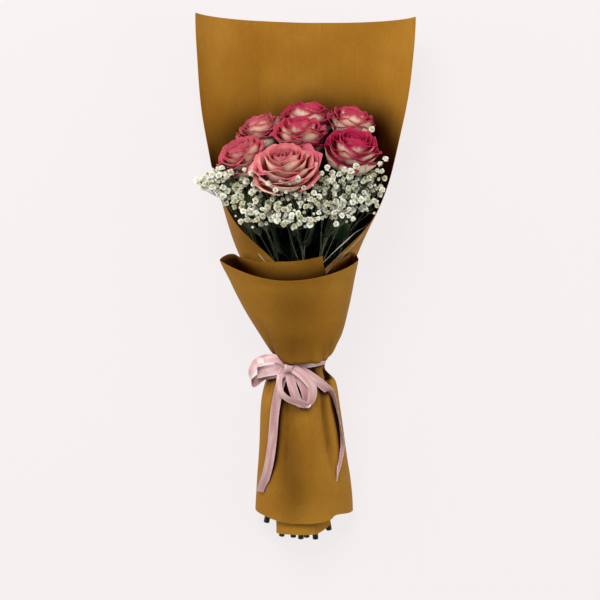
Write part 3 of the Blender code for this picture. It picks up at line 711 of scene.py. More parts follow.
frontPaper = dict(
    flat=(0.350, 0.300), thickness=0.00035, seatGap=0.0010, flapGap=0.0016, facetRoom=0.022,
    # The sheet's parts from its right end to its left end: steps along each one
    parts=[
        ("rightFlap", 0.30, 0.88, 20), ("rightLoop", 1.0, 0.08, 14), ("front", 1.0, -1.0, 130),
        ("leftLoop", 0.08, 1.0, 14), ("leftFlap", -0.88, 0.42, 40),
    ],
    levels=[(0, 0.52, 60), (0.525, 0.75, 60), (0.755, 1.0, 40)],
    # Hem of the front: place across (-1 to 1) and Y
    hem=(
        (-1.0, -0.96, -0.80, -0.61, -0.45, -0.28, 0.12, 0.40, 0.52, 0.57, 0.63, 0.69, 0.78, 0.97, 1.0),
        (0.0285, 0.0280, 0.0260, 0.0230, 0.0212, 0.0203, 0.0203, 0.0217, 0.0236, 0.0240, 0.0275, 0.0284,
         0.0283, 0.0270, 0.0270),
    ),
    # Rim of the front: Y of its middle, how much higher its sides are, how much the corners drop
    rim=(0.3095, 0.0165, 0.0015),
    # Side loops: Y of the hem, how much it rises round the loop, Y of the rim, how much that rises
    leftLoop=(0.0285, 0.006, 0.3245, 0.0055), rightLoop=(0.0270, 0.007, 0.3245, 0.0080),
    # Flaps: Y of the hem; the rim by its place along the flap, on the left by how far it dips below a slant
    # (its Y and slope); how far the left one's free edge is pulled in near the rim
    flapHem=0.036, leftRim=(0.3300, 0.0015), leftPull=0.0062,
    leftDip=((-0.88, -0.6, -0.4, 0.0, 0.2, 0.42), (0.0, 0.0020, 0.0053, 0.0052, 0.0035, 0.0)),
    rightRim=((0.30, 0.40, 0.50, 0.60, 0.75, 0.88), (0.301, 0.3105, 0.3197, 0.3260, 0.3300, 0.3320)),
    # Y, left X, right X, level of the side loops, front Z, left and right loop radius
    sections=[
        (0.020, -0.0500, 0.0586, 0.0110, 0.0540, 0.0045, 0.0050),
        (0.060, -0.0480, 0.0560, 0.0160, 0.0620, 0.0045, 0.0050),
        (0.108, -0.0450, 0.0500, 0.0280, 0.0720, 0.0045, 0.0050),
        (0.150, -0.0435, 0.0445, 0.0400, 0.0800, 0.0045, 0.0045),
        (0.182, -0.0380, 0.0390, 0.0510, 0.0850, 0.0045, 0.0045),
        (0.1985, -0.0272, 0.0272, 0.0565, 0.0842, 0.0014, 0.0014),
        (0.2095, -0.0272, 0.0272, 0.0570, 0.0842, 0.0014, 0.0014),
        (0.220, -0.0340, 0.0345, 0.0600, 0.0940, 0.0035, 0.0035),
        (0.236, -0.0430, 0.0450, 0.0660, 0.1030, 0.0050, 0.0050),
        (0.270, -0.0625, 0.0540, 0.0740, 0.1170, 0.0070, 0.0045),
        (0.300, -0.0765, 0.0595, 0.0820, 0.1320, 0.0085, 0.0045),
        (0.336, -0.0900, 0.0650, 0.0900, 0.1500, 0.0095, 0.0045),
    ],
    # Gathers at the waist: how many, depth, reach, seed; depth and length of the waves
    pleats=(11, 0.0012, 0.011, 8), waves=(0.0008, 0.09),
    # How far the collar puffs out over the tie and hangs down there, and at which Y
    puff=0.0036, hang=0.0085, puffY=0.2230, puffReach=0.0085,
    # Folds: X at the tie, X at the far end, Y of both ends, depth, width of the soft side, and the side that
    # is sharp (1 right, -1 left, 0 both soft)
    sharpFold=0.0030, folds=[
        (-0.0135, -0.0175, 0.192, 0.026, 0.0060, 0.0120, 0),
        (0.0245, 0.0420, 0.190, 0.048, 0.0062, 0.0085, 1),
        (-0.0060, -0.0080, 0.186, 0.070, 0.0018, 0.0080, 0),
        (0.0080, 0.0125, 0.184, 0.036, -0.0036, 0.0095, 0),
        (0.0300, 0.0355, 0.200, 0.170, 0.0075, 0.0036, 1),
        (-0.0300, -0.0400, 0.197, 0.150, 0.0026, 0.0030, 0),
        (0.0130, 0.0200, 0.198, 0.150, 0.0032, 0.0034, 0),
        (-0.0080, -0.0120, 0.198, 0.160, 0.0024, 0.0026, 0),
        (0.0050, 0.0060, 0.198, 0.165, 0.0018, 0.0022, 0),
        (-0.0240, -0.0450, 0.216, 0.262, 0.0020, 0.0042, 0),
        (-0.0040, -0.0080, 0.214, 0.240, 0.0012, 0.0030, 0),
        (0.0228, 0.0275, 0.214, 0.236, 0.0040, 0.0038, 0),
        (0.0300, 0.0348, 0.216, 0.240, 0.0040, 0.0030, 0),
        (0.0110, 0.0130, 0.214, 0.236, 0.0014, 0.0026, 0),
    ],
    # Soft painted shade: X, Y, reach along X and along Y, amount
    shadeAreas=[
        (-0.009, 0.070, 0.024, 0.085, 0.22), (-0.008, 0.224, 0.042, 0.022, 0.20),
        (-0.006, 0.275, 0.046, 0.040, 0.19),
    ],
)
sectionAngles = np.linspace(0, 1.3 * math.pi, 400)
sectionCache = {}


def backSection(y):
    # Half-width, half-height, lowest Z, centre X and the length along the section at each angle
    key = round(y, 6)
    if key not in sectionCache:
        halfWidth, halfHeight, lowest, centre = readSections(backPaper["sections"], y)
        across = np.diff(halfWidth * np.sin(sectionAngles))
        up = np.diff(halfHeight * np.cos(sectionAngles))
        lengths = np.concatenate([[0], np.cumsum(np.hypot(across, up))])
        sectionCache[key] = halfWidth, halfHeight, lowest, centre, lengths
    return sectionCache[key]


def wrapPoint(y, distance, lift=0.0):
    halfWidth, halfHeight, lowest, centre, lengths = backSection(y)
    angle = math.copysign(np.interp(abs(distance), lengths, sectionAngles), distance)
    normal = unit(np.array([halfHeight * math.sin(angle), 0.0, -halfWidth * math.cos(angle)]))
    x = centre + halfWidth * math.sin(angle) + normal[0] * lift
    z = lowest + halfHeight * (1 - math.cos(angle)) + normal[2] * lift
    return np.array([x, y, max(z, backPaper["floorRoom"])])


def backReach(y):
    halfTurn = np.interp(math.pi, sectionAngles, backSection(y)[4])
    return min(backPaper["width"] / 2, backPaper["overlap"] * halfTurn)


def backTurn(y, share):
    # How far each side of the sheet is moved along it, to set the slant of the open front's edges
    levels, moves = backPaper["leftTurn"] if share < 0 else backPaper["rightTurn"]
    near = sum(float(np.interp(y + step, levels, moves)) for step in (-0.012, -0.006, 0.0, 0.006, 0.012)) / 5
    return near * float(smoothStep(0.0, 0.7, abs(share)))


def backY(share, t):
    # t is 0 at the sheet's lower edge, 1 at the waist and 2 at its top edge
    if t < 1:
        low = mix(backPaper["flapHem"], backPaper["leftHem"], float(smoothStep(-0.580, -0.565, share)))
        low = mix(low, backPaper["hem"], float(smoothStep(-0.32, -0.28, share)))
        if share > 0:
            tab = float(np.interp(share, *backPaper["tab"]))
            low = mix(backPaper["hem"], tab, float(smoothStep(0.490, 0.505, share)))
        return mix(low, waist["y"], t)
    middle, corners, tilt = backPaper["top"]
    return mix(waist["y"], middle + corners * share * share - tilt * share, t - 1)


def sheetPoint(y, share, lift):
    return wrapPoint(y, share * backReach(y) + backTurn(y, share), lift)


def pleats(y, across, count, depth, reach, seed):
    # Uneven gathers that die out away from the waist
    draws = random.Random(seed)
    total = 0.0
    for k in range(count):
        centre = -1 + 2 * (k + 0.5) / count + draws.uniform(-0.3, 0.3) / count
        width = draws.uniform(0.25, 0.5) / count
        total = total - draws.uniform(0.5, 1.3) * bump(across, centre, width)
    return depth * total * bump(y, waist["y"], reach)


def makeBackPaper():
    shares = np.sort(np.concatenate([np.linspace(-1, 1, backPaper["columns"]), backPaper["hemColumns"]]))
    levels = spread(backPaper["levels"])
    grid = np.array([[sheetPoint(backY(s, t), s, -backPaper["rise"] * s) for s in shares] for t in levels])
    normals = gridNormals(grid)
    share = np.broadcast_to(shares, grid.shape[:2])
    x, y, z = (grid[:, :, k] for k in range(3))
    shape = pleats(y, share, *backPaper["pleats"])
    free = smoothStep(0.30, 0.40, y)  # Above the collar
    for middle, width, depth in backPaper["bends"]:
        shape = shape - free * depth * bump(x, middle, width)
    depth, length = backPaper["waves"]
    shape = shape + depth * softWaves(grid, 5, length) * free
    wavy = softWaves(grid * [0, 1, 0], 9, 0.20, 3)
    shape = shape + backPaper["wavySides"] * free * bump(np.abs(share), 1.0, 0.10) * wavy
    lifted = smoothStep(0.0009, 0.010, z)
    grid = grid + normals * (shape * lifted)[..., None]
    grid[:, :, 2] = np.maximum(grid[:, :, 2], backPaper["thickness"] * 1.05)
    places, faces, uv, side = thickSheet(grid, backPaper["thickness"], share, y)
    places[:, 2] = np.maximum(places[:, 2], 0.0)
    piece = newPiece("backPaper", places, faces, [backMaterial], uv, {"side": side})
    return standsFor(piece, "kraft_paper", "backing_paper")


def collarPoint(y, part, turn):
    # X and Z at one place along a part of the sheet
    left, right, level, front, leftLoop, rightLoop = readSections(frontPaper["sections"], y)
    if part.endswith("Loop"):
        edge, loop = (left, leftLoop) if part == "leftLoop" else (right, -rightLoop)
        angle = math.pi * turn
        return edge + loop * (1 - math.cos(angle)), level - abs(loop) * math.sin(angle)
    top = front
    if part != "front":
        left, right = left + 2 * leftLoop, right - 2 * rightLoop
        halfWidth, halfHeight, lowest = backSection(y)[:3]
        top = lowest + 2 * halfHeight + backPaper["rise"] + frontPaper["seatGap"]
        top += frontPaper["facetRoom"] * halfWidth + (frontPaper["flapGap"] if part == "leftFlap" else 0.0)
    angle = turn * math.pi / 2
    return (left + right) / 2 + (right - left) / 2 * math.sin(angle), level + (top - level) * math.cos(angle)


def collarEnds(part, turn):
    # Y of the hem and of the rim
    if part == "front":
        place = math.sin(turn * math.pi / 2)
        middle, rise, corner = frontPaper["rim"]
        drop = corner * float(smoothStep(0.82, 1.0, abs(turn)))
        return np.interp(place, *frontPaper["hem"]), middle + rise * place**2 - drop
    if part.endswith("Loop"):
        hem, hemRise, rim, rimRise = frontPaper[part]
        return hem + hemRise * turn, rim + rimRise * float(smoothStep(0.0, 0.7, turn))
    if part == "leftFlap":
        rim, slope = frontPaper["leftRim"]
        return frontPaper["flapHem"], rim + slope * (turn + 1) - np.interp(turn, *frontPaper["leftDip"])
    return frontPaper["flapHem"], np.interp(turn, *frontPaper["rightRim"])


def foldDepth(x, y):
    total = np.zeros_like(x)
    for near, far, start, end, depth, width, sharp in frontPaper["folds"]:
        t = (y - start) / (end - start)
        inside = smoothStep(-0.04, 0.10, t) * (1 - smoothStep(0.55, 1.0, t))
        off = x - mix(near, far, t)
        soft = np.exp(-np.abs(off / width) ** (1.2 if sharp else 1.4))
        if sharp:
            soft = np.where(off * sharp > 0, bump(off, 0.0, frontPaper["sharpFold"]), soft)
        total -= depth * inside * soft
    return total


def makeFrontPaper():
    places = [(part, turn) for part, *stretch in frontPaper["parts"] for turn in np.linspace(*stretch)]
    grid = []
    for s in spread(frontPaper["levels"]):
        row = []
        for part, turn in places:
            y = mix(*collarEnds(part, turn), s)
            x, z = collarPoint(y, part, turn)
            if part == "leftFlap":
                x -= frontPaper["leftPull"] * (turn + 0.88) / 1.3 * float(smoothStep(0.300, 0.330, y))
            row.append((x, y, z))
        grid.append(row)
    grid = np.array(grid)
    normals = -gridNormals(grid)
    isFront = np.array([[float(part == "front") for part, _ in places]])
    turnOf = np.array([[turn if part == "front" else 0.0 for part, turn in places]])
    x, y = grid[:, :, 0], grid[:, :, 1]
    out = isFront * foldDepth(x, y)
    out = out + isFront * pleats(y, turnOf, *frontPaper["pleats"])
    free = smoothStep(0.010, 0.035, np.abs(y - waist["y"]))
    depth, length = frontPaper["waves"]
    out = out + isFront * free * depth * softWaves(grid, 21, length)
    # The collar puffs out over the tie
    across = smoothStep(-0.85, -0.15, turnOf) * (1 - smoothStep(0.60, 0.98, turnOf))
    puff = isFront * bump(y, frontPaper["puffY"], frontPaper["puffReach"]) * across
    grid = grid + normals * (out + frontPaper["puff"] * puff)[..., None]
    uneven = softWaves(grid * [1, 0, 0], 4, 0.03, 3)
    grid[:, :, 1] -= frontPaper["hang"] * puff * (1 + 0.25 * uneven)
    along = np.arange(len(places)) / len(places)
    sheet, faces, uv, side = thickSheet(grid, frontPaper["thickness"], along, y)
    piece = newPiece("frontPaper", sheet, faces, [kraftMaterial], uv, {"side": side})
    return standsFor(piece, "kraft_paper", "collar_paper")


backPiece = makeBackPaper()
frontPiece = makeFrontPaper()
print("papers ready")


film = dict(
    flat=(0.300, 0.175), thickness=0.00012, gap=0.0022, levels=(0.85, 1.50, 60), columns=120,
    # Where it turns over, counted from its middle (1 is its edge), how wide the painted glint line there is,
    # and the columns that the fold needs
    fold=0.8, turnedPart=0.2, foldWidth=0.0024, foldColumns=(0.792, 0.797, 0.800, 0.803, 0.808),
    # Left and right: how far it stands out, how much is turned over, painted glint on its fold and free edge
    reach=(0.190, 0.262), turned=(0.070, 0.120), foldSeen=(0.0, 0.85), freeSeen=(1.00, 0.38),
    # Levels between which it comes out, and between which each side goes back in
    comesOut=(1.08, 1.20), goesIn=((1.345, 1.372), (1.400, 1.422)),
)


def makeFilm():
    # Lines the tall sheet round the stems and turns over the paper's edges beside the open front
    fold = film["fold"]
    folds = np.array(film["foldColumns"])
    across = np.sort(np.concatenate([np.linspace(-1, 1, film["columns"]), folds, -folds]))
    grid, edge, over = [], [], []
    for t in np.linspace(*film["levels"]):
        y = backY(0.5, t)
        low = float(smoothStep(*film["comesOut"], t))
        outs = [low * (1.0 - float(smoothStep(*ends, t))) for ends in film["goesIn"]]
        row, edgeRow, overRow = [], [], []
        for c in across:
            side = int(c > 0)
            out = outs[side]
            beyond = max(0.0, (abs(c) - fold) / film["turnedPart"])
            share = min(abs(c) / fold, 1.0) * (fold + film["reach"][side] * out)
            share = math.copysign(1.0, c) * (share - film["turned"][side] * beyond * out)
            turned = float(smoothStep(0.0, 0.35, beyond)) * out
            lift = mix(-film["gap"], film["gap"] * 0.6, turned) - backPaper["rise"] * share
            row.append(sheetPoint(y, share, lift))
            # Painted glints: a pale line along the fold and along the free edge
            line = bump(abs(c), fold, film["foldWidth"]) * film["foldSeen"][side]
            free = smoothStep(0.975, 1.0, abs(c)) * film["freeSeen"][side]
            edgeRow.append(max(float(line), float(free)) * out)
            overRow.append(float(smoothStep(0.50, 0.60, beyond)) * out * side)
        grid.append(row)
        edge.append(edgeRow)
        over.append(overRow)
    grid = np.array(grid)
    grid += gridNormals(grid) * (0.0006 * softWaves(grid, 31, 0.03))[..., None]
    places, faces, uv, _ = thickSheet(grid, film["thickness"], across, grid[:, :, 1])
    marks = {"edge": np.tile(np.ravel(edge), 2), "turned": np.tile(np.ravel(over), 2)}
    piece = newPiece("clearFilm", places, faces, [filmMaterial], uv, marks)
    return standsFor(piece, "clear_film", "clear_film")


makeFilm()


# Blooms

blooms = dict(
    radius=0.035, height=0.040, thickness=0.00042, across=14, along=14, innerBlush=0.34,
    # Centre of the open rim, way it faces, radius, turn in degrees, depth of pink, how far it is open
    places=[
        ((-0.0190, 0.4525, 0.1560), (-0.10, 0.92, 0.37), 0.0350, 20, 0.18, 1.00),
        ((-0.0685, 0.4545, 0.1070), (-0.45, 0.87, 0.20), 0.0285, 75, 0.60, 1.00),
        ((-0.0475, 0.4745, 0.0560), (-0.38, 0.92, 0.02), 0.0275, 130, 0.46, 1.00),
        ((0.0095, 0.4885, 0.0400), (0.03, 1.00, -0.07), 0.0290, 10, 0.86, 1.00),
        ((0.0595, 0.4850, 0.0600), (0.24, 0.96, 0.02), 0.0262, 50, 0.78, 1.00),
        ((0.0605, 0.4660, 0.1225), (0.18, 0.93, 0.30), 0.0310, 95, 0.95, 0.78),
        ((-0.0005, 0.4795, 0.0960), (0.00, 0.99, 0.12), 0.0295, 160, 0.80, 1.00),
    ],
    # Each layer from the outside in: petals, half-angle, root radius and height, belly radius, rim radius
    # and height, how far the rim rolls out, spiral, how far the sides fall, length of the tip, blush (mm,
    # degrees)
    layers=[
        (4, 48, 6, 0, 27.5, 31.0, 21.0, 4.2, 2.0, 0.22, 0.15, -0.10),
        (5, 44, 6, 2, 28.5, 32.5, 29.0, 5.8, 2.4, 0.21, 0.15, 0.00),
        (5, 46, 6, 3, 26.5, 29.0, 35.0, 6.2, 2.4, 0.19, 0.13, 0.09),
        (4, 56, 5, 5, 23.0, 24.5, 39.5, 5.2, 2.4, 0.17, 0.10, 0.17),
        (4, 60, 5, 6, 19.0, 19.0, 42.5, 4.0, 2.2, 0.14, 0.08, 0.24),
        (3, 80, 4, 8, 15.5, 14.2, 44.0, 2.2, 1.8, 0.10, 0.05, 0.32),
        (3, 86, 4, 9, 11.5, 9.6, 41.5, 1.2, 1.6, 0.08, 0.03, 0.44),
        (3, 90, 3, 10, 8.0, 6.0, 39.8, 0.4, 1.3, 0.06, 0.02, 0.52),
        (2, 120, 2, 10, 5.0, 3.0, 38.6, 0.0, 0.9, 0.05, 0.02, 0.58),
    ],
    # Single broad petals low on the outside: the bloom, the way each stands out, its layer as above
    guards={
        0: [
            ((-0.7, -0.5, 0.4), (1, 42, 6, -2, 30.0, 33.0, 15.0, 3.0, 1.0, 0.22, 0.12, -0.30)),
            ((0.9, -0.2, 0.2), (1, 46, 6, -2, 30.0, 35.0, 17.0, 4.0, 1.0, 0.22, 0.16, 0.20)),
            ((0.95, 0.1, -0.35), (1, 40, 6, 0, 34.0, 41.0, 27.0, 2.0, 1.0, 0.20, 0.12, 0.85)),
            ((0.7, 0.0, -0.75), (1, 44, 6, 0, 33.0, 40.0, 31.0, 2.0, 1.0, 0.20, 0.12, 1.00)),
        ],
        5: [
            ((-1.0, -0.1, 0.3), (1, 44, 6, -4, 33.0, 37.0, 24.0, 2.6, 1.0, 0.22, 0.14, -0.12)),
            ((-0.5, -0.4, 1.0), (1, 44, 6, -5, 30.0, 32.0, 17.0, 3.0, -1.0, 0.22, 0.16, 0.00)),
            ((0.6, -0.3, 0.9), (1, 44, 6, -5, 30.0, 32.0, 18.0, 3.4, 1.0, 0.22, 0.14, -0.10)),
        ],
        6: [((0.8, -0.3, 0.6), (1, 46, 6, -3, 30.0, 33.0, 15.0, 3.2, 1.0, 0.22, 0.14, 0.45))],
        1: [((-0.2, -0.5, 0.9), (1, 46, 6, -3, 30.0, 32.0, 16.0, 3.0, 1.0, 0.22, 0.14, 0.05))],
        2: [((-0.3, -0.3, 1.0), (1, 46, 6, -3, 30.0, 32.0, 18.0, 2.4, 1.0, 0.22, 0.14, -0.10))],
    },
)


def petalGrid(draws, start, layer, openness):
    # One petal in mm in its bloom: its grid, its place across and along, and how near its edge each place is
    _, half, root, rootHeight, belly, rim, rimHeight, roll, spiral, fall, tip, _ = layer
    half = math.radians(half)
    size = belly / 27
    u = np.linspace(-1, 1, blooms["across"] + 1)[None, :]
    v = np.linspace(0, 1, blooms["along"] + 1)[:, None]
    rim = mix(belly * 0.92, rim, openness) * draws.uniform(0.97, 1.03)
    rimHeight = rimHeight + draws.uniform(-2.6, 1.6) * size
    roll = roll * draws.uniform(0.5, 1.5) * openness
    lean = draws.uniform(-0.12, 0.12)
    top = 1 - fall * np.abs(u + lean) ** 2.2 + tip * np.exp(-np.abs((u - lean) / 0.26) ** 1.5)
    s = v * top
    # From the root past the belly to the rim
    controls = [
        (root, rootHeight), (belly * 1.06, mix(rootHeight, rimHeight, 0.12)),
        (belly * 0.98, mix(rootHeight, rimHeight, 0.72)), (rim, rimHeight),
    ]
    weights = ((1 - s) ** 3, 3 * s * (1 - s) ** 2, 3 * s * s * (1 - s), s**3)
    radius, height = (sum(w * point[k] for w, point in zip(weights, controls)) for k in (0, 1))
    # The rim rolls out and its sides curl
    bend = smoothStep(0.62, 1.08, s)
    rolled = roll * (0.40 + 1.0 * np.abs(u - lean) ** 1.3)
    radius = radius + rolled * bend**1.4
    height = height - rolled * 1.05 * bend**2.2
    edgeCurl = np.abs(u) ** 3.0 * smoothStep(0.30, 0.95, s)
    radius = radius + (0.8 + 0.45 * roll) * edgeCurl * draws.uniform(0.6, 1.2) + spiral * u
    height = height - 0.30 * roll * edgeCurl
    ruffle = draws.uniform(0.15, 0.45) * (0.25 + size)
    phase = draws.uniform(0, 6.3)
    radius = radius + ruffle * np.sin(u * draws.uniform(4, 7) + phase) * s**3
    height = height + 0.6 * ruffle * np.sin(u * draws.uniform(5, 9) + phase * 2) * s**4
    radius = radius - 0.5 * size * bump(u, 0.0, 0.12) * s**2
    width = np.sin(np.pi * (0.13 + 0.55 * s)) ** 0.75
    angle = start + half * u * width
    grid = np.stack([radius * np.cos(angle), radius * np.sin(angle), height + 0 * u], axis=-1)
    fromTop = (top - s) * 36
    fromSide = (1 - np.abs(u)) * half * np.maximum(radius, 3) * width
    edge = 1 - np.clip(np.minimum(fromTop, fromSide + 2.5) / 15.0, 0, 1)
    return grid / 1000, np.broadcast_to(u * 0.5 + 0.5, s.shape), s, edge


def bloomFrame(rim, way, radius, turn):
    scale = radius / blooms["radius"]
    axis = Vector(way).normalized()
    base = Vector(rim) - axis * blooms["height"] * scale
    spin = Matrix.Rotation(math.radians(turn), 4, "Z")
    return Matrix.Translation(base) @ axis.to_track_quat("Z", "Y").to_matrix().to_4x4() @ spin, scale


def makeBloom(number):
    rim, way, radius, turn, pink, openness = blooms["places"][number]
    place, scale = bloomFrame(rim, way, radius, turn)
    place = np.array(place)
    draws = random.Random(500 + number)
    parts = Parts()
    petals = []
    for way, layer in blooms["guards"].get(number, []):
        inward = place[:3, :3].T @ np.array(way)
        petals.append((math.atan2(inward[1], inward[0]), layer))
    first = 0.0
    for layer in blooms["layers"]:
        first += draws.uniform(25, 50)
        for k in range(layer[0]):
            petals.append((math.radians(first + 360 * k / layer[0] + draws.uniform(-7, 7)), layer))
    for start, layer in petals:
        grid, *looks = petalGrid(draws, start, layer, openness)
        grid = (grid * scale) @ place[:3, :3].T + place[:3, 3]
        across, along, edge = (look[:, ::-1] for look in looks)
        places, faces, uv, side = thickSheet(grid[:, ::-1], blooms["thickness"], across, along)
        warm = layer[-1] + draws.uniform(-0.06, 0.06) + 0.10 * (pink - 0.4)
        blush = warm + blooms["innerBlush"] * (0.5 - side)
        parts.add(places, faces, uv, edge=np.tile(edge.ravel(), 2), blush=blush, tone=pink, side=side)
    piece = parts.piece(f"roseBloom{number + 1}", petalMaterial, 75)
    return standsFor(piece, "petal", f"rose_bloom_{number + 1}")


for number in range(len(blooms["places"])):
    makeBloom(number)
print("blooms ready")


# Stalks with heads: one node tree grows stems with their leaves, and sprays with their florets


def makeGrowthTree():
    inputs = [
        ("Geometry", "NodeSocketGeometry", None), ("Heads", "NodeSocketCollection", None),
        ("Sides", "NodeSocketInt", 6), ("Thickness", "NodeSocketFloat", 1.0),
        ("Head Size", "NodeSocketFloat", 1.0),
        ("Stalk", "NodeSocketMaterial", None), ("Head", "NodeSocketMaterial", None),
    ]
    tree, given, result = newGroup("growth", inputs, [("Geometry", "NodeSocketGeometry")], "GeometryNodeTree")

    def node(kind, *links, **settings):
        return addNode(tree, kind, *links, **settings).outputs

    def mark(name, kind="FLOAT"):
        return node("GeometryNodeInputNamedAttribute", None, {"Name": name}, data_type=kind)["Attribute"]

    def above(value, limit):
        settings = dict(data_type="FLOAT", operation="GREATER_THAN")
        return node("FunctionNodeCompare", {"A": value}, {"B": limit}, **settings)[0]

    # A tube along each edge, as thick as its places say
    curve = node("GeometryNodeMeshToCurve", {"Mesh": given["Geometry"]})[0]
    ring = node("GeometryNodeCurvePrimitiveCircle", {"Resolution": given["Sides"]}, {"Radius": 1.0})[0]
    thick = times(tree, mark("thick"), given["Thickness"])
    links = {"Curve": curve, "Profile Curve": ring, "Scale": thick}
    tube = node("GeometryNodeCurveToMesh", links, {"Fill Caps": True})[0]
    values = {"Name": "stalk", "Value": 1.0}
    stored = dict(data_type="FLOAT", domain="POINT")
    stalk = node("GeometryNodeStoreNamedAttribute", {"Geometry": tube}, values, **stored)[0]
    # A head at each place that has a size
    values = {"Separate Children": True, "Reset Children": True}
    heads = node("GeometryNodeCollectionInfo", {"Collection": given["Heads"]}, values)[0]
    links = {
        "Points": given["Geometry"], "Selection": above(mark("size"), 0.0), "Instance": heads,
        "Instance Index": mark("kind", "INT"), "Scale": times(tree, mark("size"), given["Head Size"]),
        "Rotation": node("FunctionNodeEulerToRotation", {"Euler": mark("aim", "FLOAT_VECTOR")})[0],
    }
    placed = node("GeometryNodeInstanceOnPoints", links, {"Pick Instance": True})[0]
    joined = addNode(tree, "GeometryNodeJoinGeometry")
    tree.links.new(stalk, joined.inputs[0])
    tree.links.new(placed, joined.inputs[0])
    real = node("GeometryNodeRealizeInstances", {"Geometry": joined.outputs[0]})[0]
    headed = node("GeometryNodeSetMaterial", {"Geometry": real, "Material": given["Head"]})[0]
    links = {"Geometry": headed, "Selection": above(mark("stalk"), 0.5), "Material": given["Stalk"]}
    tree.links.new(node("GeometryNodeSetMaterial", links)[0], result[0])
    return tree


growthTree = makeGrowthTree()


class Skeleton:
    # Places joined by edges. A place with a size above 0 carries a head.

    def __init__(self):
        self.places, self.edges, self.thick, self.size, self.aim, self.kind = [], [], [], [], [], []

    def point(self, place, thick, size=0.0, aim=(0.0, 0.0, 0.0), kind=0):
        self.places.append(Vector(place))
        self.thick.append(thick)
        self.size.append(size)
        self.aim.append(aim)
        self.kind.append(kind)
        return len(self.places) - 1

    def path(self, places, thicks):
        indices = [self.point(place, thick) for place, thick in zip(places, thicks)]
        self.edges += list(zip(indices, indices[1:]))

    def head(self, place, way, face, size, kind):
        # A head whose Y runs along way and whose Z looks along face
        way = Vector(way).normalized()
        face = Vector(face)
        face = (face - way * face.dot(way)).normalized()
        aim = Matrix((way.cross(face), way, face)).transposed().to_euler()
        self.point(place, 0.0, size, tuple(aim), kind)

    def grow(self, name, heads, sides, stalk, head):
        mesh = bpy.data.meshes.new(name)
        mesh.from_pydata([tuple(np.array(p) - frameOrigin) for p in self.places], self.edges, [])
        addMark(mesh, "thick", self.thick)
        addMark(mesh, "size", self.size)
        addMark(mesh, "kind", self.kind, "INT")
        addMark(mesh, "aim", np.array(self.aim).ravel(), "FLOAT_VECTOR", "vector")
        piece = bpy.data.objects.new(name, mesh)
        bpy.context.scene.collection.objects.link(piece)
        modifier = piece.modifiers.new("growth", "NODES")
        modifier.node_group = growthTree
        values = {"Heads": heads, "Sides": sides, "Stalk": stalk, "Head": head}
        for item in growthTree.interface.items_tree:
            if item.in_out == "INPUT" and item.name in values:
                modifier[item.identifier] = values[item.name]
        grown = bpy.data.meshes.new_from_object(piece.evaluated_get(bpy.context.evaluated_depsgraph_get()))
        piece.modifiers.clear()
        piece.data = grown
        grown.name = name
        for mark in ("thick", "size", "kind", "aim"):
            if mark in grown.attributes:
                grown.attributes.remove(grown.attributes[mark])
        grown.shade_smooth()
        grown.set_sharp_from_angle(angle=math.radians(60))
        return piece


def headCollection(name, heads):
    # Heads made at the origin with their foot there, Y along them and Z their face
    collection = bpy.data.collections.new(name)
    for k, (places, faces, uv, marks) in enumerate(heads):
        piece = newPiece(f"{name}{k}", places + frameOrigin, faces, [], uv, marks)
        bpy.context.scene.collection.objects.unlink(piece)
        collection.objects.link(piece)
    return collection


def dropHeads(heads):
    for piece in list(heads.objects):
        bpy.data.objects.remove(piece, do_unlink=True)
    bpy.data.collections.remove(heads)


leafShape = dict(width=0.52, rows=22, columns=8, teeth=9, saw=0.10, thickness=0.010)


def headGrid(rows, columns):
    t = np.linspace(0, 1, rows + 1)[:, None]
    u = np.linspace(-1, 1, columns + 1)[None, :]
    return t, u


def headSheet(x, y, z, thickness, t, u):
    grid = np.stack([x + 0 * t, y + 0 * u, z + 0 * u], axis=-1)
    places, faces, uv, _ = thickSheet(grid, thickness, u * 0.5 + 0.5, t)
    return places, faces, uv, {}


def makeLeafHead(seed):
    # A saw-edged leaflet one unit long, folded along its rib and arched
    draws = random.Random(seed)
    t, u = headGrid(leafShape["rows"], leafShape["columns"])
    outline = np.sin(np.pi * np.clip(0.02 + 0.96 * t**0.85, 0, 1)) ** 0.85
    tooth = (t * leafShape["teeth"]) % 1.0
    x = leafShape["width"] / 2 * outline * (1 + leafShape["saw"] * tooth) * u
    y = t + 0.10 * (1 - t) * np.abs(u) ** 1.5 * outline
    fold, arch = draws.uniform(0.18, 0.34), draws.uniform(0.10, 0.24)
    z = fold * np.abs(x) - arch * t**2 + 0.03 * np.sin(3.1 * u + 5 * t + seed) * outline
    z = z + 0.012 * np.abs(np.sin((t - 0.4 * np.abs(u)) * 14)) * (1 - np.abs(u) ** 4)
    return headSheet(x, y, z, leafShape["thickness"], t, u)


def makeSepalHead(seed):
    # A narrow pointed sepal one unit long that bends back
    draws = random.Random(seed)
    t, u = headGrid(12, 4)
    half = 0.20 * (1 - t**1.6) * (0.75 + 0.25 * np.sin(9 * t))
    z = -0.45 * t**2 - 0.25 * np.abs(half * u) + draws.uniform(-0.05, 0.05) * t
    return headSheet(half * u, t * (1 - 0.15 * t), z, 0.03, t, u)


def makeThornHead():
    # A hooked thorn one unit long: rings by height, radius and how far each slips down, then its tip
    sides = 6
    places, faces = [], []
    for height, radius, slip in [(0.0, 0.55, 0.0), (0.35, 0.28, -0.05), (0.75, 0.10, -0.22)]:
        for k in range(sides):
            angle = math.tau * k / sides
            places.append((radius * 0.45 * math.cos(angle), height, slip + radius * math.sin(angle)))
    places.append((0.0, 1.0, -0.40))
    for low in (0, sides):
        for k in range(sides):
            a, b = low + k, low + (k + 1) % sides
            faces.append((a, a + sides, b + sides, b))
    top = 2 * sides
    faces += [(top + k, top + sides, top + (k + 1) % sides) for k in range(sides)]
    faces.append(tuple(range(sides)))
    return np.array(places), faces, np.zeros((len(places), 2)), {}


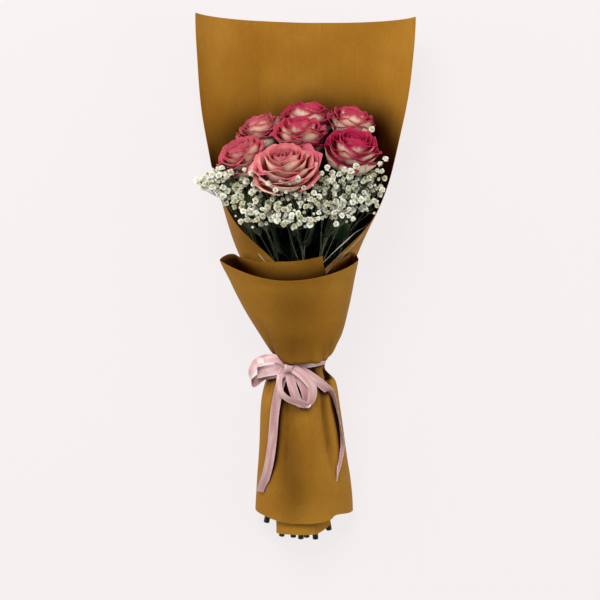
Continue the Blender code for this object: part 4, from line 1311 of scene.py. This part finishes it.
stems = dict(
    # The cut ends, by bloom
    ends=[
        (-0.0075, 0.0012, 0.0326), (-0.0375, 0.0165, 0.0250), (-0.0205, -0.0016, 0.0142),
        (0.0075, -0.0035, 0.0114), (0.0325, 0.0065, 0.0190), (0.0174, -0.0015, 0.0300),
        (0.0010, -0.0030, 0.0220),
    ],
    # At the waist six stems stand round the seventh, this far off and at these angles
    pitch=0.0067, angles=[105, 165, 225, 285, 345, 45],
    radius=0.0032, jointEvery=9, jointSwell=0.14, neck=0.88, hipRadius=0.0066, hipTop=0.0052, sides=10,
    # Y between which leaves grow, their shares of that stretch, the leaf stalk's length and radii
    leafZone=(0.245, 0.430), leafPlaces=(0.05, 0.14, 0.23, 0.32, 0.41, 0.50, 0.59, 0.68, 0.77, 0.86, 0.95),
    leafStalk=0.020, leafStalkRadii=[0.0010, 0.0008, 0.0006], leafLength=0.036,
    # Leaflets: place along the leaf stalk, turn in degrees, share of the length
    leaflets=((0.55, 46, 0.78), (0.55, -46, 0.78), (1.0, 0, 1.0)),
    thorns=9, thornLength=0.0042, thornFoot=0.0026, bareZone=(0.19, 0.23),
    sepals=5, sepalLength=0.021, sepalDrop=0.0070, sepalOut=0.0045,
)


def bezier(controls, t):
    a, b, c, d = controls
    s = 1 - t
    return a * s**3 + b * (3 * s * s * t) + c * (3 * s * t * t) + d * t**3


def stemRoute(number):
    # From the cut end through the waist to the hip
    rim, way, radius, turn = blooms["places"][number][:4]
    place, scale = bloomFrame(rim, way, radius, turn)
    axis = Vector(way).normalized()
    hip = place.translation - axis * 0.0004
    end = Vector(stems["ends"][number])
    at = Vector((0.0, waist["y"], waist["z"]))
    if number < len(stems["angles"]):
        angle = math.radians(stems["angles"][number])
        at += Vector((stems["pitch"] * math.cos(angle), 0.0, stems["pitch"] * math.sin(angle)))
    reach = (hip - at).length
    controls = (at, at + Vector((0, 0.30 * reach, 0)) + (hip - at) * 0.06, hip - axis * 0.34 * reach, hip)
    middle = end.lerp(at, 0.5) + Vector((0.10 * (at.x - end.x), 0, 0.001))
    low = smoothPath([end, middle, at - Vector((0, 0.012, 0)), at], 8)
    route = [Vector(p) for p in low[:-1]] + [bezier(controls, k / 33) for k in range(34)]
    return route, hip, axis, scale


def insideWrap(place):
    # How far out a place lies in the tall sheet: 1 is on the sheet
    halfWidth, halfHeight, lowest, centre, _ = backSection(place.y)
    return math.hypot((place.x - centre) / halfWidth, (place.z - lowest - halfHeight) / halfHeight)


# Middle and reach of each bloom, which leaves keep clear of
bloomBalls = [
    (Vector(rim) - Vector(way).normalized() * radius * 0.62, radius * 0.92)
    for rim, way, radius, *_ in blooms["places"]
]


def clearOf(foot, tip):
    # Whether a leaf from foot to tip stays in the wrap and out of the blooms
    if insideWrap(tip) > 0.88 or insideWrap(foot.lerp(tip, 0.6)) > 0.92:
        return False
    spots = (foot.lerp(tip, 0.5), tip)
    return all((spot - middle).length > reach for spot in spots for middle, reach in bloomBalls)


def rotated(vector, angle, axis):
    return Matrix.Rotation(angle, 3, axis) @ vector


def growLeaf(skeleton, place, way, draws):
    # A leaf stalk that leans outwards with three leaflets, each laid flatter until it clears the blooms
    middle = Vector((0.0, place.y, waist["z"] + 0.166 * (place.y - waist["y"])))
    out = place - middle
    out = (out - way * out.dot(way)).normalized()
    out = rotated(out, math.radians(draws.uniform(-100, 100)), way)
    rachis = (way * 0.9 + out * 0.5).normalized()
    for offset, turn, share in stems["leaflets"]:
        foot = place + rachis * (stems["leafStalk"] * offset)
        for lean in (1.0, 0.7, 0.4, 0.15, -0.1):
            heading = rotated((way * 0.85 + out * 0.55 * lean).normalized(), math.radians(turn), out)
            length = stems["leafLength"] * share * draws.uniform(0.85, 1.15)
            if clearOf(foot, foot + heading * length):
                skeleton.head(foot, heading, out + heading * 0.1, length, draws.randrange(3))
                break
    stalk = [place + rachis * (stems["leafStalk"] * share) for share in (0.0, 0.5, 1.0)]
    skeleton.path(stalk, stems["leafStalkRadii"])


def makeStem(number, heads):
    route, hip, axis, scale = stemRoute(number)
    draws = random.Random(700 + number)
    skeleton = Skeleton()
    radii = []
    for k, place in enumerate(route):
        joint = 1 + stems["jointSwell"] * (k % stems["jointEvery"] == 4)
        fromHip = (hip - place).length
        neck = mix(1.0, stems["neck"], float(smoothStep(0.06, 0.02, fromHip)))
        swell = float(smoothStep(0.014 * scale, 0.009 * scale, fromHip))
        radii.append(mix(stems["radius"] * joint * neck, stems["hipRadius"] * scale, swell))
    radii[-1] = stems["hipTop"] * scale
    skeleton.path(route, radii)

    def wayAt(k):
        return (route[k + 1] - route[k]).normalized()

    low, high = stems["leafZone"]
    upper = [k for k, place in enumerate(route) if low < place.y < high]
    for share in stems["leafPlaces"]:
        k = upper[int(share * (len(upper) - 1))]
        growLeaf(skeleton, route[k], wayAt(k), draws)
    for _ in range(stems["thorns"]):
        k = draws.randrange(6, len(route) - 10)
        out = rotated(wayAt(k).orthogonal().normalized(), draws.uniform(0, math.tau), wayAt(k))
        if not stems["bareZone"][0] <= route[k].y <= stems["bareZone"][1]:
            skeleton.head(route[k] + out * stems["thornFoot"], out, wayAt(k), stems["thornLength"], 5)
    for k in range(stems["sepals"]):
        angle = math.radians(72 * k + 15 * number + draws.uniform(-6, 6))
        out = rotated(axis.orthogonal().normalized(), angle, axis)
        foot = hip - axis * stems["sepalDrop"] * scale + out * stems["sepalOut"] * scale
        skeleton.head(foot, out - axis * 0.35, axis, stems["sepalLength"] * scale, 3 + k % 2)
    piece = skeleton.grow(f"roseStem{number + 1}", heads, stems["sides"], stemMaterial, leafMaterial)
    return standsFor(piece, "leaf", f"rose_stem_{number + 1}")


# Heads 0 to 2 are leaflets, 3 and 4 sepals, 5 a thorn
leafHeads = headCollection("leafHead", [
    makeLeafHead(1), makeLeafHead(2), makeLeafHead(3), makeSepalHead(4), makeSepalHead(5), makeThornHead(),
])
for number in range(len(blooms["places"])):
    makeStem(number, leafHeads)
dropHeads(leafHeads)
print("stems ready")


sprays = dict(
    stalk=0.0012, sides=5, florets=76, floretRadius=0.0037, apart=0.0052, branches=9,
    floretSizes=(0.45, 0.7, 0.85, 0.95, 1.0, 1.08, 1.15),
    # Radii of a branch at its start and its end and of a floret's own stalk, as shares of the stalk
    branch=(0.34, 0.20), floretStalk=0.16,
    # Place round the waist in degrees, its radius there, hub, middle and reach of the florets
    places=[
        (195, 0.0092, (-0.058, 0.368, 0.094), (-0.086, 0.413, 0.122), (0.029, 0.023, 0.014)),
        (135, 0.0092, (-0.028, 0.346, 0.098), (-0.048, 0.397, 0.142), (0.027, 0.028, 0.016)),
        (92, 0.0114, (0.005, 0.353, 0.108), (-0.002, 0.396, 0.163), (0.031, 0.026, 0.011)),
        (75, 0.0092, (0.026, 0.346, 0.099), (0.040, 0.401, 0.142), (0.027, 0.032, 0.016)),
        (15, 0.0092, (0.054, 0.364, 0.090), (0.073, 0.411, 0.123), (0.027, 0.032, 0.014)),
    ],
    # Florets keep within this share of the tall sheet's half-width, but at the top left they lean over it
    room=0.98, leaningRoom=1.30, leaningAbove=0.408,
    # Single florets that stand before the blooms, by spray
    forward={
        2: [
            (-0.0190, 0.4265, 0.1800), (-0.0110, 0.4245, 0.1805), (-0.0025, 0.4285, 0.1790),
            (-0.0340, 0.4230, 0.1760), (0.0040, 0.4180, 0.1760), (-0.0265, 0.4160, 0.1780),
            (-0.0150, 0.4140, 0.1800), (0.0140, 0.4200, 0.1700),
        ],
        3: [
            (0.0480, 0.4340, 0.1490), (0.0420, 0.4290, 0.1520), (0.0550, 0.4320, 0.1500),
            (0.0360, 0.4260, 0.1510), (0.0610, 0.4370, 0.1470), (0.0240, 0.4300, 0.1500),
            (0.0300, 0.4360, 0.1480),
        ],
        1: [(-0.0520, 0.4300, 0.1500), (-0.0420, 0.4260, 0.1560), (-0.0600, 0.4330, 0.1430)],
        4: [
            (0.0780, 0.4748, 0.1270), (0.0860, 0.4380, 0.1330), (0.0930, 0.4420, 0.1250),
            (0.0720, 0.4380, 0.1400),
        ],
    },
)


def makeFloretHead(seed, openness):
    # A small double flower one unit in radius: rings of notched petals round a tight heart
    draws = random.Random(seed)
    places, faces, tips = [], [], []
    # Petals, reach and rise of each ring
    rings = [(6, 0.90, -0.10), (7, 1.00, 0.35), (6, 0.82, 0.80), (5, 0.58, 1.10), (3, 0.30, 1.28)]
    # One petal's faces, by its places: seven above (the last is its notch) and six below
    petalFaces = [
        (0, 1, 3, 2), (2, 3, 5, 6), (2, 6, 4), (7, 9, 10, 8), (9, 11, 12, 10), (0, 7, 8, 1), (0, 2, 9, 7),
        (2, 4, 11, 9), (1, 8, 10, 3), (3, 10, 12, 5), (4, 6, 5, 12, 11),
    ]
    for count, reach, rise in rings:
        reach = reach * openness
        turn = draws.uniform(0, math.tau)
        for k in range(count):
            angle = turn + math.tau * k / count + draws.uniform(-0.35, 0.35)
            out = Vector((math.cos(angle), 0, math.sin(angle)))
            side = Vector((-math.sin(angle), 0, math.cos(angle)))
            far = reach * draws.uniform(0.74, 1.14)
            lift = rise + draws.uniform(-0.20, 0.16)
            width = draws.uniform(0.28, 0.42) * (0.6 + 0.4 * reach)
            faces += [tuple(len(places) + corner for corner in face) for face in petalFaces]
            # Along the petal, up and half-width
            shape = [(0.10, 0.05, 0.10), (0.62, lift * 0.7, width), (0.98, lift, width * 0.8)]
            for narrow, shorter, drop, tipShare in ((1.0, 1.0, 0.0, 1.0), (0.9, 0.97, -0.10, 0.6)):
                for along, up, half in shape:
                    spot = out * far * along * shorter + Vector((0, up * 0.8 + 0.05 + drop, 0))
                    places += [spot - side * half * narrow, spot + side * half * narrow]
                    tips += [along * tipShare] * 2
                if not drop:
                    places.append(out * far * 0.88 + Vector((0, (lift + 0.07) * 0.8 + 0.05, 0)))
                    tips.append(0.88)
    return np.array([tuple(p) for p in places]), faces, np.zeros((len(places), 2)), {"tip": tips}


def floretSpots(number, draws):
    # Where a spray's florets stand: apart from one another in its own room, then the single ones
    _, _, _, middle, reach = sprays["places"][number]
    placed = []
    for _ in range(6000):
        if len(placed) == sprays["florets"]:
            break
        spot = Vector([draws.uniform(-1, 1) for _ in range(3)])
        if spot.length > 1:
            continue
        spot = Vector(middle) + Vector([s * r for s, r in zip(spot, reach)])
        leaning = spot.x < 0 and spot.y > sprays["leaningAbove"]
        room = backSection(spot.y)[0] * sprays["leaningRoom" if leaning else "room"]
        if abs(spot.x) < room and all((spot - other).length > sprays["apart"] for other in placed):
            placed.append(spot)
    return placed + [Vector(spot) for spot in sprays["forward"].get(number, [])]


def sprayStalk(number):
    # From below the waist to the hub that the branches start from
    angle, radius, hub = sprays["places"][number][:3]
    turn = math.radians(angle)
    at = Vector((radius * math.cos(turn), waist["y"], waist["z"] + radius * math.sin(turn)))
    out = Vector((at.x, 0.0, at.z - waist["z"]))
    low = at + out * 0.20 + Vector((0, -0.014, -0.0024))
    way = Vector(hub) - at
    bend = at + Vector((way.x * 0.24, 0.045, way.z * 0.24))
    return roundedPath([low, at - Vector((0, 0.010, 0)), at + Vector((0, 0.008, 0)), bend, hub])


def growBranch(skeleton, start, group, draws):
    # A branch that forks into one stalk for each floret of its group
    mean = sum(group, Vector()) / len(group)
    fork = start.lerp(mean, 0.70) + Vector([draws.uniform(-0.003, 0.003) for _ in range(3)])
    knee = Vector((draws.uniform(-0.003, 0.003), 0.003, draws.uniform(-0.003, 0.001)))
    branch = roundedPath([start, start.lerp(fork, 0.45) + knee, fork], 2)
    skeleton.path(branch, np.linspace(*(sprays["stalk"] * share for share in sprays["branch"]), len(branch)))
    for spot in group:
        face = (spot - fork).normalized() + Vector([draws.uniform(-0.7, 0.7) for _ in range(3)])
        face = (face + Vector((0.0, 0.2, 0.6))).normalized()
        neck = spot - face * sprays["floretRadius"] * 0.3
        joint = fork.lerp(neck, 0.45) + Vector([draws.uniform(-0.0015, 0.0015) for _ in range(3)])
        path = roundedPath([fork, joint, neck], 1)
        skeleton.path(path, [sprays["stalk"] * sprays["floretStalk"]] * len(path))
        size = sprays["floretRadius"] * draws.choice(sprays["floretSizes"])
        side = rotated(face.orthogonal(), draws.uniform(0, math.tau), face)
        skeleton.head(neck, face, side, size, draws.randrange(4))


def makeSpray(number, heads):
    draws = random.Random(60 + number)
    skeleton = Skeleton()
    main = sprayStalk(number)
    skeleton.path(main, np.linspace(sprays["stalk"], sprays["stalk"] * 0.8, len(main)))
    placed = floretSpots(number, draws)
    centres = draws.sample(placed, sprays["branches"])
    groups = [[] for _ in centres]
    for spot in placed:
        groups[min(range(len(centres)), key=lambda k: (centres[k] - spot).length)].append(spot)
    for group in groups:
        growBranch(skeleton, main[-1].lerp(main[-2], draws.uniform(0, 1)), group, draws)
    materials = breathStalkMaterial, floretMaterial
    piece = skeleton.grow(f"breathSpray{number + 1}", heads, sprays["sides"], *materials)
    return standsFor(piece, "breath", f"breath_spray_{number + 1}")


floretHeads = headCollection("floretHead", [
    makeFloretHead(1, 1.0), makeFloretHead(2, 0.85), makeFloretHead(3, 0.68), makeFloretHead(4, 0.95),
])
for number in range(len(sprays["places"])):
    makeSpray(number, floretHeads)
dropHeads(floretHeads)
print("sprays ready")


twine = dict(
    radius=0.0142, thick=0.00055, turns=5, stepsPerTurn=44, sides=6, width=0.0056, below=0.004, gap=0.0001,
)


def makeTwine():
    # Twine wound round the stems under the papers
    steps = twine["stepsPerTurn"] * twine["turns"]
    reach = twine["radius"] - twine["thick"] - twine["gap"]
    route = []
    for k in range(steps + 1):
        angle = math.tau * k / twine["stepsPerTurn"]
        y = waist["y"] - twine["below"] + twine["width"] * (k / steps - 0.5)
        route.append(Vector((reach * math.cos(angle), y, waist["z"] + reach * math.sin(angle))))
    skeleton = Skeleton()
    skeleton.path(route, [twine["thick"]] * len(route))
    noHeads = bpy.data.collections.new("noHeads")
    piece = skeleton.grow("stemTwine", noHeads, twine["sides"], twineMaterial, twineMaterial)
    bpy.data.collections.remove(noHeads)
    return standsFor(piece, "twine", "stem_twine")


makeTwine()


# Ribbon

ribbon = dict(
    width=0.0099, thickness=0.00028, columns=7, sag=0.0004,
    # The band round the waist, in the outline of both papers: half-width, depth in front and behind, width
    band=(0.0287, 0.0287, 0.0225, 0.0062), bandSteps=40, bandBelow=0.002, bandSlant=0.0012,
    # The knot: short turns of ribbon over one another, each by its tilt, how high it lies and its size
    knotPlace=(-0.0130, 0.2042, 0.0915), knot=(0.0062, 0.0048), knotSteps=16,
    knotTurns=((0.7, 0.0, 0.85), (-0.5, 0.0006, 0.72)),
)
viewTilt = math.radians(10)


def frontHeight(x, y):
    # Height of the front sheet at one place
    left, right, level, front = readSections(frontPaper["sections"], y)[:4]
    across = max(min((x - (left + right) / 2) / ((right - left) / 2), 0.995), -0.995)
    return level + (front - level) * math.sqrt(1 - across * across)


def seenAt(x, up, lift):
    # A place at x across and up along the bunch as the camera sees it, this far off the front sheet (mm)
    x, up, lift = x / 1000, up / 1000, lift / 1000
    z = 0.08
    for _ in range(6):
        y = (up + z * math.sin(viewTilt)) / math.cos(viewTilt)
        z = frontHeight(x, y) + lift
    return np.array([x, y, z])


def ribbonStrip(parts, route, looks, taper=0.0, width=None, steps=9):
    # One stretch of ribbon along a route; looks is the way its face looks at each of the route's points
    line = smoothPath(route, steps)
    ways = unit(np.gradient(line, axis=0))
    sides = unit(np.cross(ways, unit(smoothPath(looks, steps))))
    half = np.full(len(line), (width or ribbon["width"]) / 2)
    if taper:
        half = half * (1 - smoothStep(1 - taper, 1.0, np.linspace(0, 1, len(line))) * 0.92)
    u = np.linspace(-1, 1, ribbon["columns"])
    sag = ribbon["sag"] * (u**2 - 0.5)
    grid = line[:, None] + sides[:, None] * (u[None, :] * half[:, None])[..., None]
    grid = grid + np.cross(sides, ways)[:, None] * sag[None, :, None]
    along = np.concatenate([[0], np.cumsum(np.linalg.norm(np.diff(line, axis=0), axis=1))])
    places, faces, uv, side = thickSheet(grid, ribbon["thickness"], u * 0.5 + 0.5, along[:, None] * 10)
    parts.add(places, faces, uv, side=side)
    return along[-1]


# Each stretch: X, height up the bunch as seen, and lift off the paper in mm, then the way the face looks
ribbonStretches = dict(
    leftTail=dict(points=[
        (-14, 187, 8.0, -0.1, 0.0, 1.0), (-19, 176, 7.0, -0.1, 0.0, 1.0), (-23.3, 161, 5.0, -0.1, 0.0, 1.0),
        (-27.8, 137, 4.6, -0.15, 0.0, 1.0), (-30.9, 103, 4.6, -0.1, 0.0, 1.0),
        (-35.2, 75, 4.6, -0.1, 0.0, 1.0), (-43.6, 46.0, 4.0, -0.1, 0.0, 1.0),
    ]),
    rightTail=dict(taper=0.30, points=[
        (-10, 187, 7.0, 0.1, 0.2, 1.0), (4, 181, 6.0, 0.1, 0.3, 1.0), (18.7, 171.3, 5.0, 0.0, 0.2, 1.0),
        (29.4, 162.3, 4.0, -0.1, 0.0, 1.0), (35.0, 156.8, 4.0, -0.6, -0.3, 0.8),
        (40.7, 138.8, 4.5, -0.97, -0.2, 0.35), (44.6, 119.7, 4.5, -0.97, 0.0, 0.35),
        (46.2, 102.9, 4.0, -0.8, 0.0, 0.6), (45.1, 88.6, 3.5, -0.5, 0.0, 0.9),
        (42.4, 69.2, 3.5, -0.5, 0.0, 0.9), (41.1, 58.6, 3.5, -0.6, 0.0, 0.9),
    ]),
    upperLoop=dict(points=[
        (-14, 190, 9.0, 0.2, 0.5, 1.0), (-22, 195, 11.0, 0.2, 0.5, 1.0), (-37, 195.5, 14.0, 0.0, 0.4, 1.0),
        (-49, 190, 14.0, -0.4, 0.4, 0.9), (-55, 178, 12.0, -0.9, 0.2, 0.6),
        (-53, 168, 9.0, -0.9, -0.4, -0.2), (-44, 174, 7.0, -0.3, -0.6, -0.9),
        (-30, 184, 6.0, 0.0, -0.6, -0.9), (-14, 188, 6.0, 0.0, -0.5, -1.0),
    ]),
    lowerLoop=dict(width=0.0122, points=[
        (-14, 187, 9.0, 0.1, 0.2, 1.0), (-24, 184, 12.5, 0.0, 0.1, 1.0), (-36, 182, 14.0, -0.2, 0.1, 1.0),
        (-45, 180, 11.0, -0.9, 0.0, 0.6), (-47, 179, 8.0, -1.0, 0.0, -0.2),
        (-38, 178, 6.0, -0.2, 0.0, -1.0), (-24, 181, 6.0, 0.0, 0.0, -1.0), (-14, 187, 6.0, 0.0, 0.0, -1.0),
    ]),
    hangingLoop=dict(points=[
        (-14, 187, 8.0, -0.2, 0.0, 1.0), (-20.5, 178, 10.0, -0.6, 0.0, 0.9),
        (-22.8, 170, 12.0, -0.85, 0.2, 0.6), (-21.1, 159, 13.0, -0.7, -0.3, 0.7),
        (-13.2, 151, 12.5, -0.2, -0.7, 0.8), (-0.9, 147, 11.0, 0.1, -0.6, 0.9),
        (8.5, 144.5, 9.0, 0.5, -0.6, 0.6), (13.5, 153, 8.0, 0.4, -0.2, 0.9),
        (13.0, 165, 8.0, 0.2, 0.2, 1.0), (4.0, 176, 9.0, 0.1, 0.2, 1.0), (-6.0, 184, 9.5, 0.1, 0.1, 1.0),
        (-13, 188, 9.0, 0.0, 0.0, 1.0),
    ]),
    middleStrip=dict(points=[
        (-13, 187, 8.0, -0.1, 0.0, 1.0), (-10.5, 173, 7.0, -0.1, 0.0, 1.0), (-7.0, 160, 6.0, 0.0, 0.0, 1.0),
        (-2.5, 149, 5.0, 0.0, -0.2, 1.0), (3.0, 143.5, 6.0, 0.1, -0.8, 0.4),
        (8.0, 147, 5.0, 0.2, -0.2, -1.0), (4.0, 165, 4.5, 0.0, 0.0, -1.0), (-8.0, 185, 5.0, 0.0, 0.0, -1.0),
    ]),
)


def makeBand(parts):
    across, front, back, width = ribbon["band"]
    route, looks = [], []
    for k in range(ribbon["bandSteps"] + 1):
        angle = math.tau * k / ribbon["bandSteps"]
        depth = front if math.sin(angle) >= 0 else back
        y = waist["y"] - ribbon["bandBelow"] + ribbon["bandSlant"] * math.cos(angle)
        route.append((across * math.cos(angle), y, waist["z"] + depth * math.sin(angle)))
        looks.append((math.cos(angle), 0.0, math.sin(angle)))
    return ribbonStrip(parts, route, looks, width=width, steps=3)


def makeKnot(parts):
    x, y, z = ribbon["knotPlace"]
    for tilt, high, swell in ribbon["knotTurns"]:
        route, looks = [], []
        for k in range(ribbon["knotSteps"] + 1):
            angle = math.tau * k / ribbon["knotSteps"]
            along = ribbon["knot"][0] * swell * math.cos(angle)
            lift = ribbon["knot"][1] * swell * math.sin(angle)
            route.append((x + along * math.sin(tilt) * 0.4, y + along, z + high + lift))
            looks.append((math.sin(tilt) * 0.3, math.cos(angle), math.sin(angle)))
        ribbonStrip(parts, route, looks, width=ribbon["width"] * swell, steps=3)


def makeRibbon():
    parts = Parts()
    total = 0.0
    for stretch in ribbonStretches.values():
        route = [seenAt(*point[:3]) for point in stretch["points"]]
        looks = [point[3:] for point in stretch["points"]]
        total += ribbonStrip(parts, route, looks, stretch.get("taper", 0.0), stretch.get("width"))
    total += makeBand(parts)
    makeKnot(parts)
    print(f"ribbon length {total:.2f} m")
    return standsFor(parts.piece("satinRibbon", satinMaterial, 60), "satin_ribbon", "satin_ribbon")


makeRibbon()
print("ribbon ready")


# Floor, light, camera and shade

studio = dict(
    floorSize=6.0, floorLevel=-0.0006, floorColour=(0.06, 0.058, 0.057, 1.0),
    glow=(1.0, 0.955, 0.953, 1.0), glowStrength=0.82, sky=(1.0, 0.985, 0.975, 1.0), skyStrength=0.33,
    # name, place, energy, size; all look at the bunch's middle
    lamps=[
        ("keyLight", (-0.45, 1.60, 1.95), 66.0, 1.2), ("leftLight", (-1.7, 0.15, 0.40), 21.0, 1.4),
        ("rightLight", (1.7, 0.2, 1.2), 19.0, 1.4),
    ],
    lit=(0.0, 0.05, 0.06),
)
camera = dict(distance=6.0, field=0.660, middle=(0.0, 0.2782, 0.080), sensor=36.0)


def makeStudio():
    material = newMaterial(
        "studioFloor", Roughness=0.9, Base_Color=studio["floorColour"], Emission_Color=studio["glow"],
        Emission_Strength=studio["glowStrength"],
    )[0]
    half, level = studio["floorSize"] / 2, studio["floorLevel"]
    corners = np.array([(x * half, y * half, level) for x, y in ((-1, -1), (1, -1), (1, 1), (-1, 1))])
    newPiece("floor", corners + frameOrigin, [(0, 1, 2, 3)], [material])
    world = bpy.data.worlds.new("softSky")
    world.use_nodes = True
    sky = world.node_tree.nodes["Background"].inputs
    sky["Color"].default_value = studio["sky"]
    sky["Strength"].default_value = studio["skyStrength"]
    bpy.context.scene.world = world
    for name, place, energy, size in studio["lamps"]:
        lamp = bpy.data.lights.new(name, "AREA")
        lamp.energy, lamp.size = energy, size
        light = bpy.data.objects.new(name, lamp)
        light.location = place
        light.rotation_euler = (Vector(studio["lit"]) - Vector(place)).to_track_quat("-Z", "Y").to_euler()
        bpy.context.scene.collection.objects.link(light)
    bpy.context.scene.view_settings.view_transform = "Standard"


def makeCamera():
    lens = bpy.data.cameras.new("camera")
    lens.sensor_fit = "HORIZONTAL"
    lens.sensor_width = camera["sensor"]
    lens.lens = camera["sensor"] * camera["distance"] / camera["field"]
    lens.clip_end = 50.0
    seat = bpy.data.objects.new("camera", lens)
    back = Vector((0.0, math.sin(viewTilt), math.cos(viewTilt)))
    up = Vector((0.0, math.cos(viewTilt), -math.sin(viewTilt)))
    middle = Vector(camera["middle"]) - Vector(frameOrigin)
    turn = Matrix((up.cross(back), up, back)).transposed().to_4x4()
    seat.matrix_world = Matrix.Translation(middle + back * camera["distance"]) @ turn
    bpy.context.scene.collection.objects.link(seat)
    bpy.context.scene.camera = seat


# Painted shade in the hollows, from rays up to so many metres long, softened so many times
solidPieces = [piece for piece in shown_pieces() if piece.type == "MESH" and piece.name != "clearFilm"]
allBlockers = makeBlockers(solidPieces)
flowers = makeBlockers([piece for piece in solidPieces if piece.name.startswith(("rose", "breath"))])
bakeShade(backPiece, flowers, 0.120, 12)
leanShade(backPiece, 2.4)
bakeShade(frontPiece, allBlockers, 0.050, 5)
shadeAreas(frontPiece, frontPaper["shadeAreas"])
for piece in solidPieces:
    if piece.name.startswith("roseBloom"):
        bakeShade(piece, allBlockers, 0.036)
    if piece.name.startswith("roseStem"):
        bakeShade(piece, allBlockers, 0.070)
    if piece.name.startswith("breathSpray"):
        bakeShade(piece, allBlockers, 0.040, 2)
print("shade ready")

makeStudio()
makeCamera()

print("scene ready")
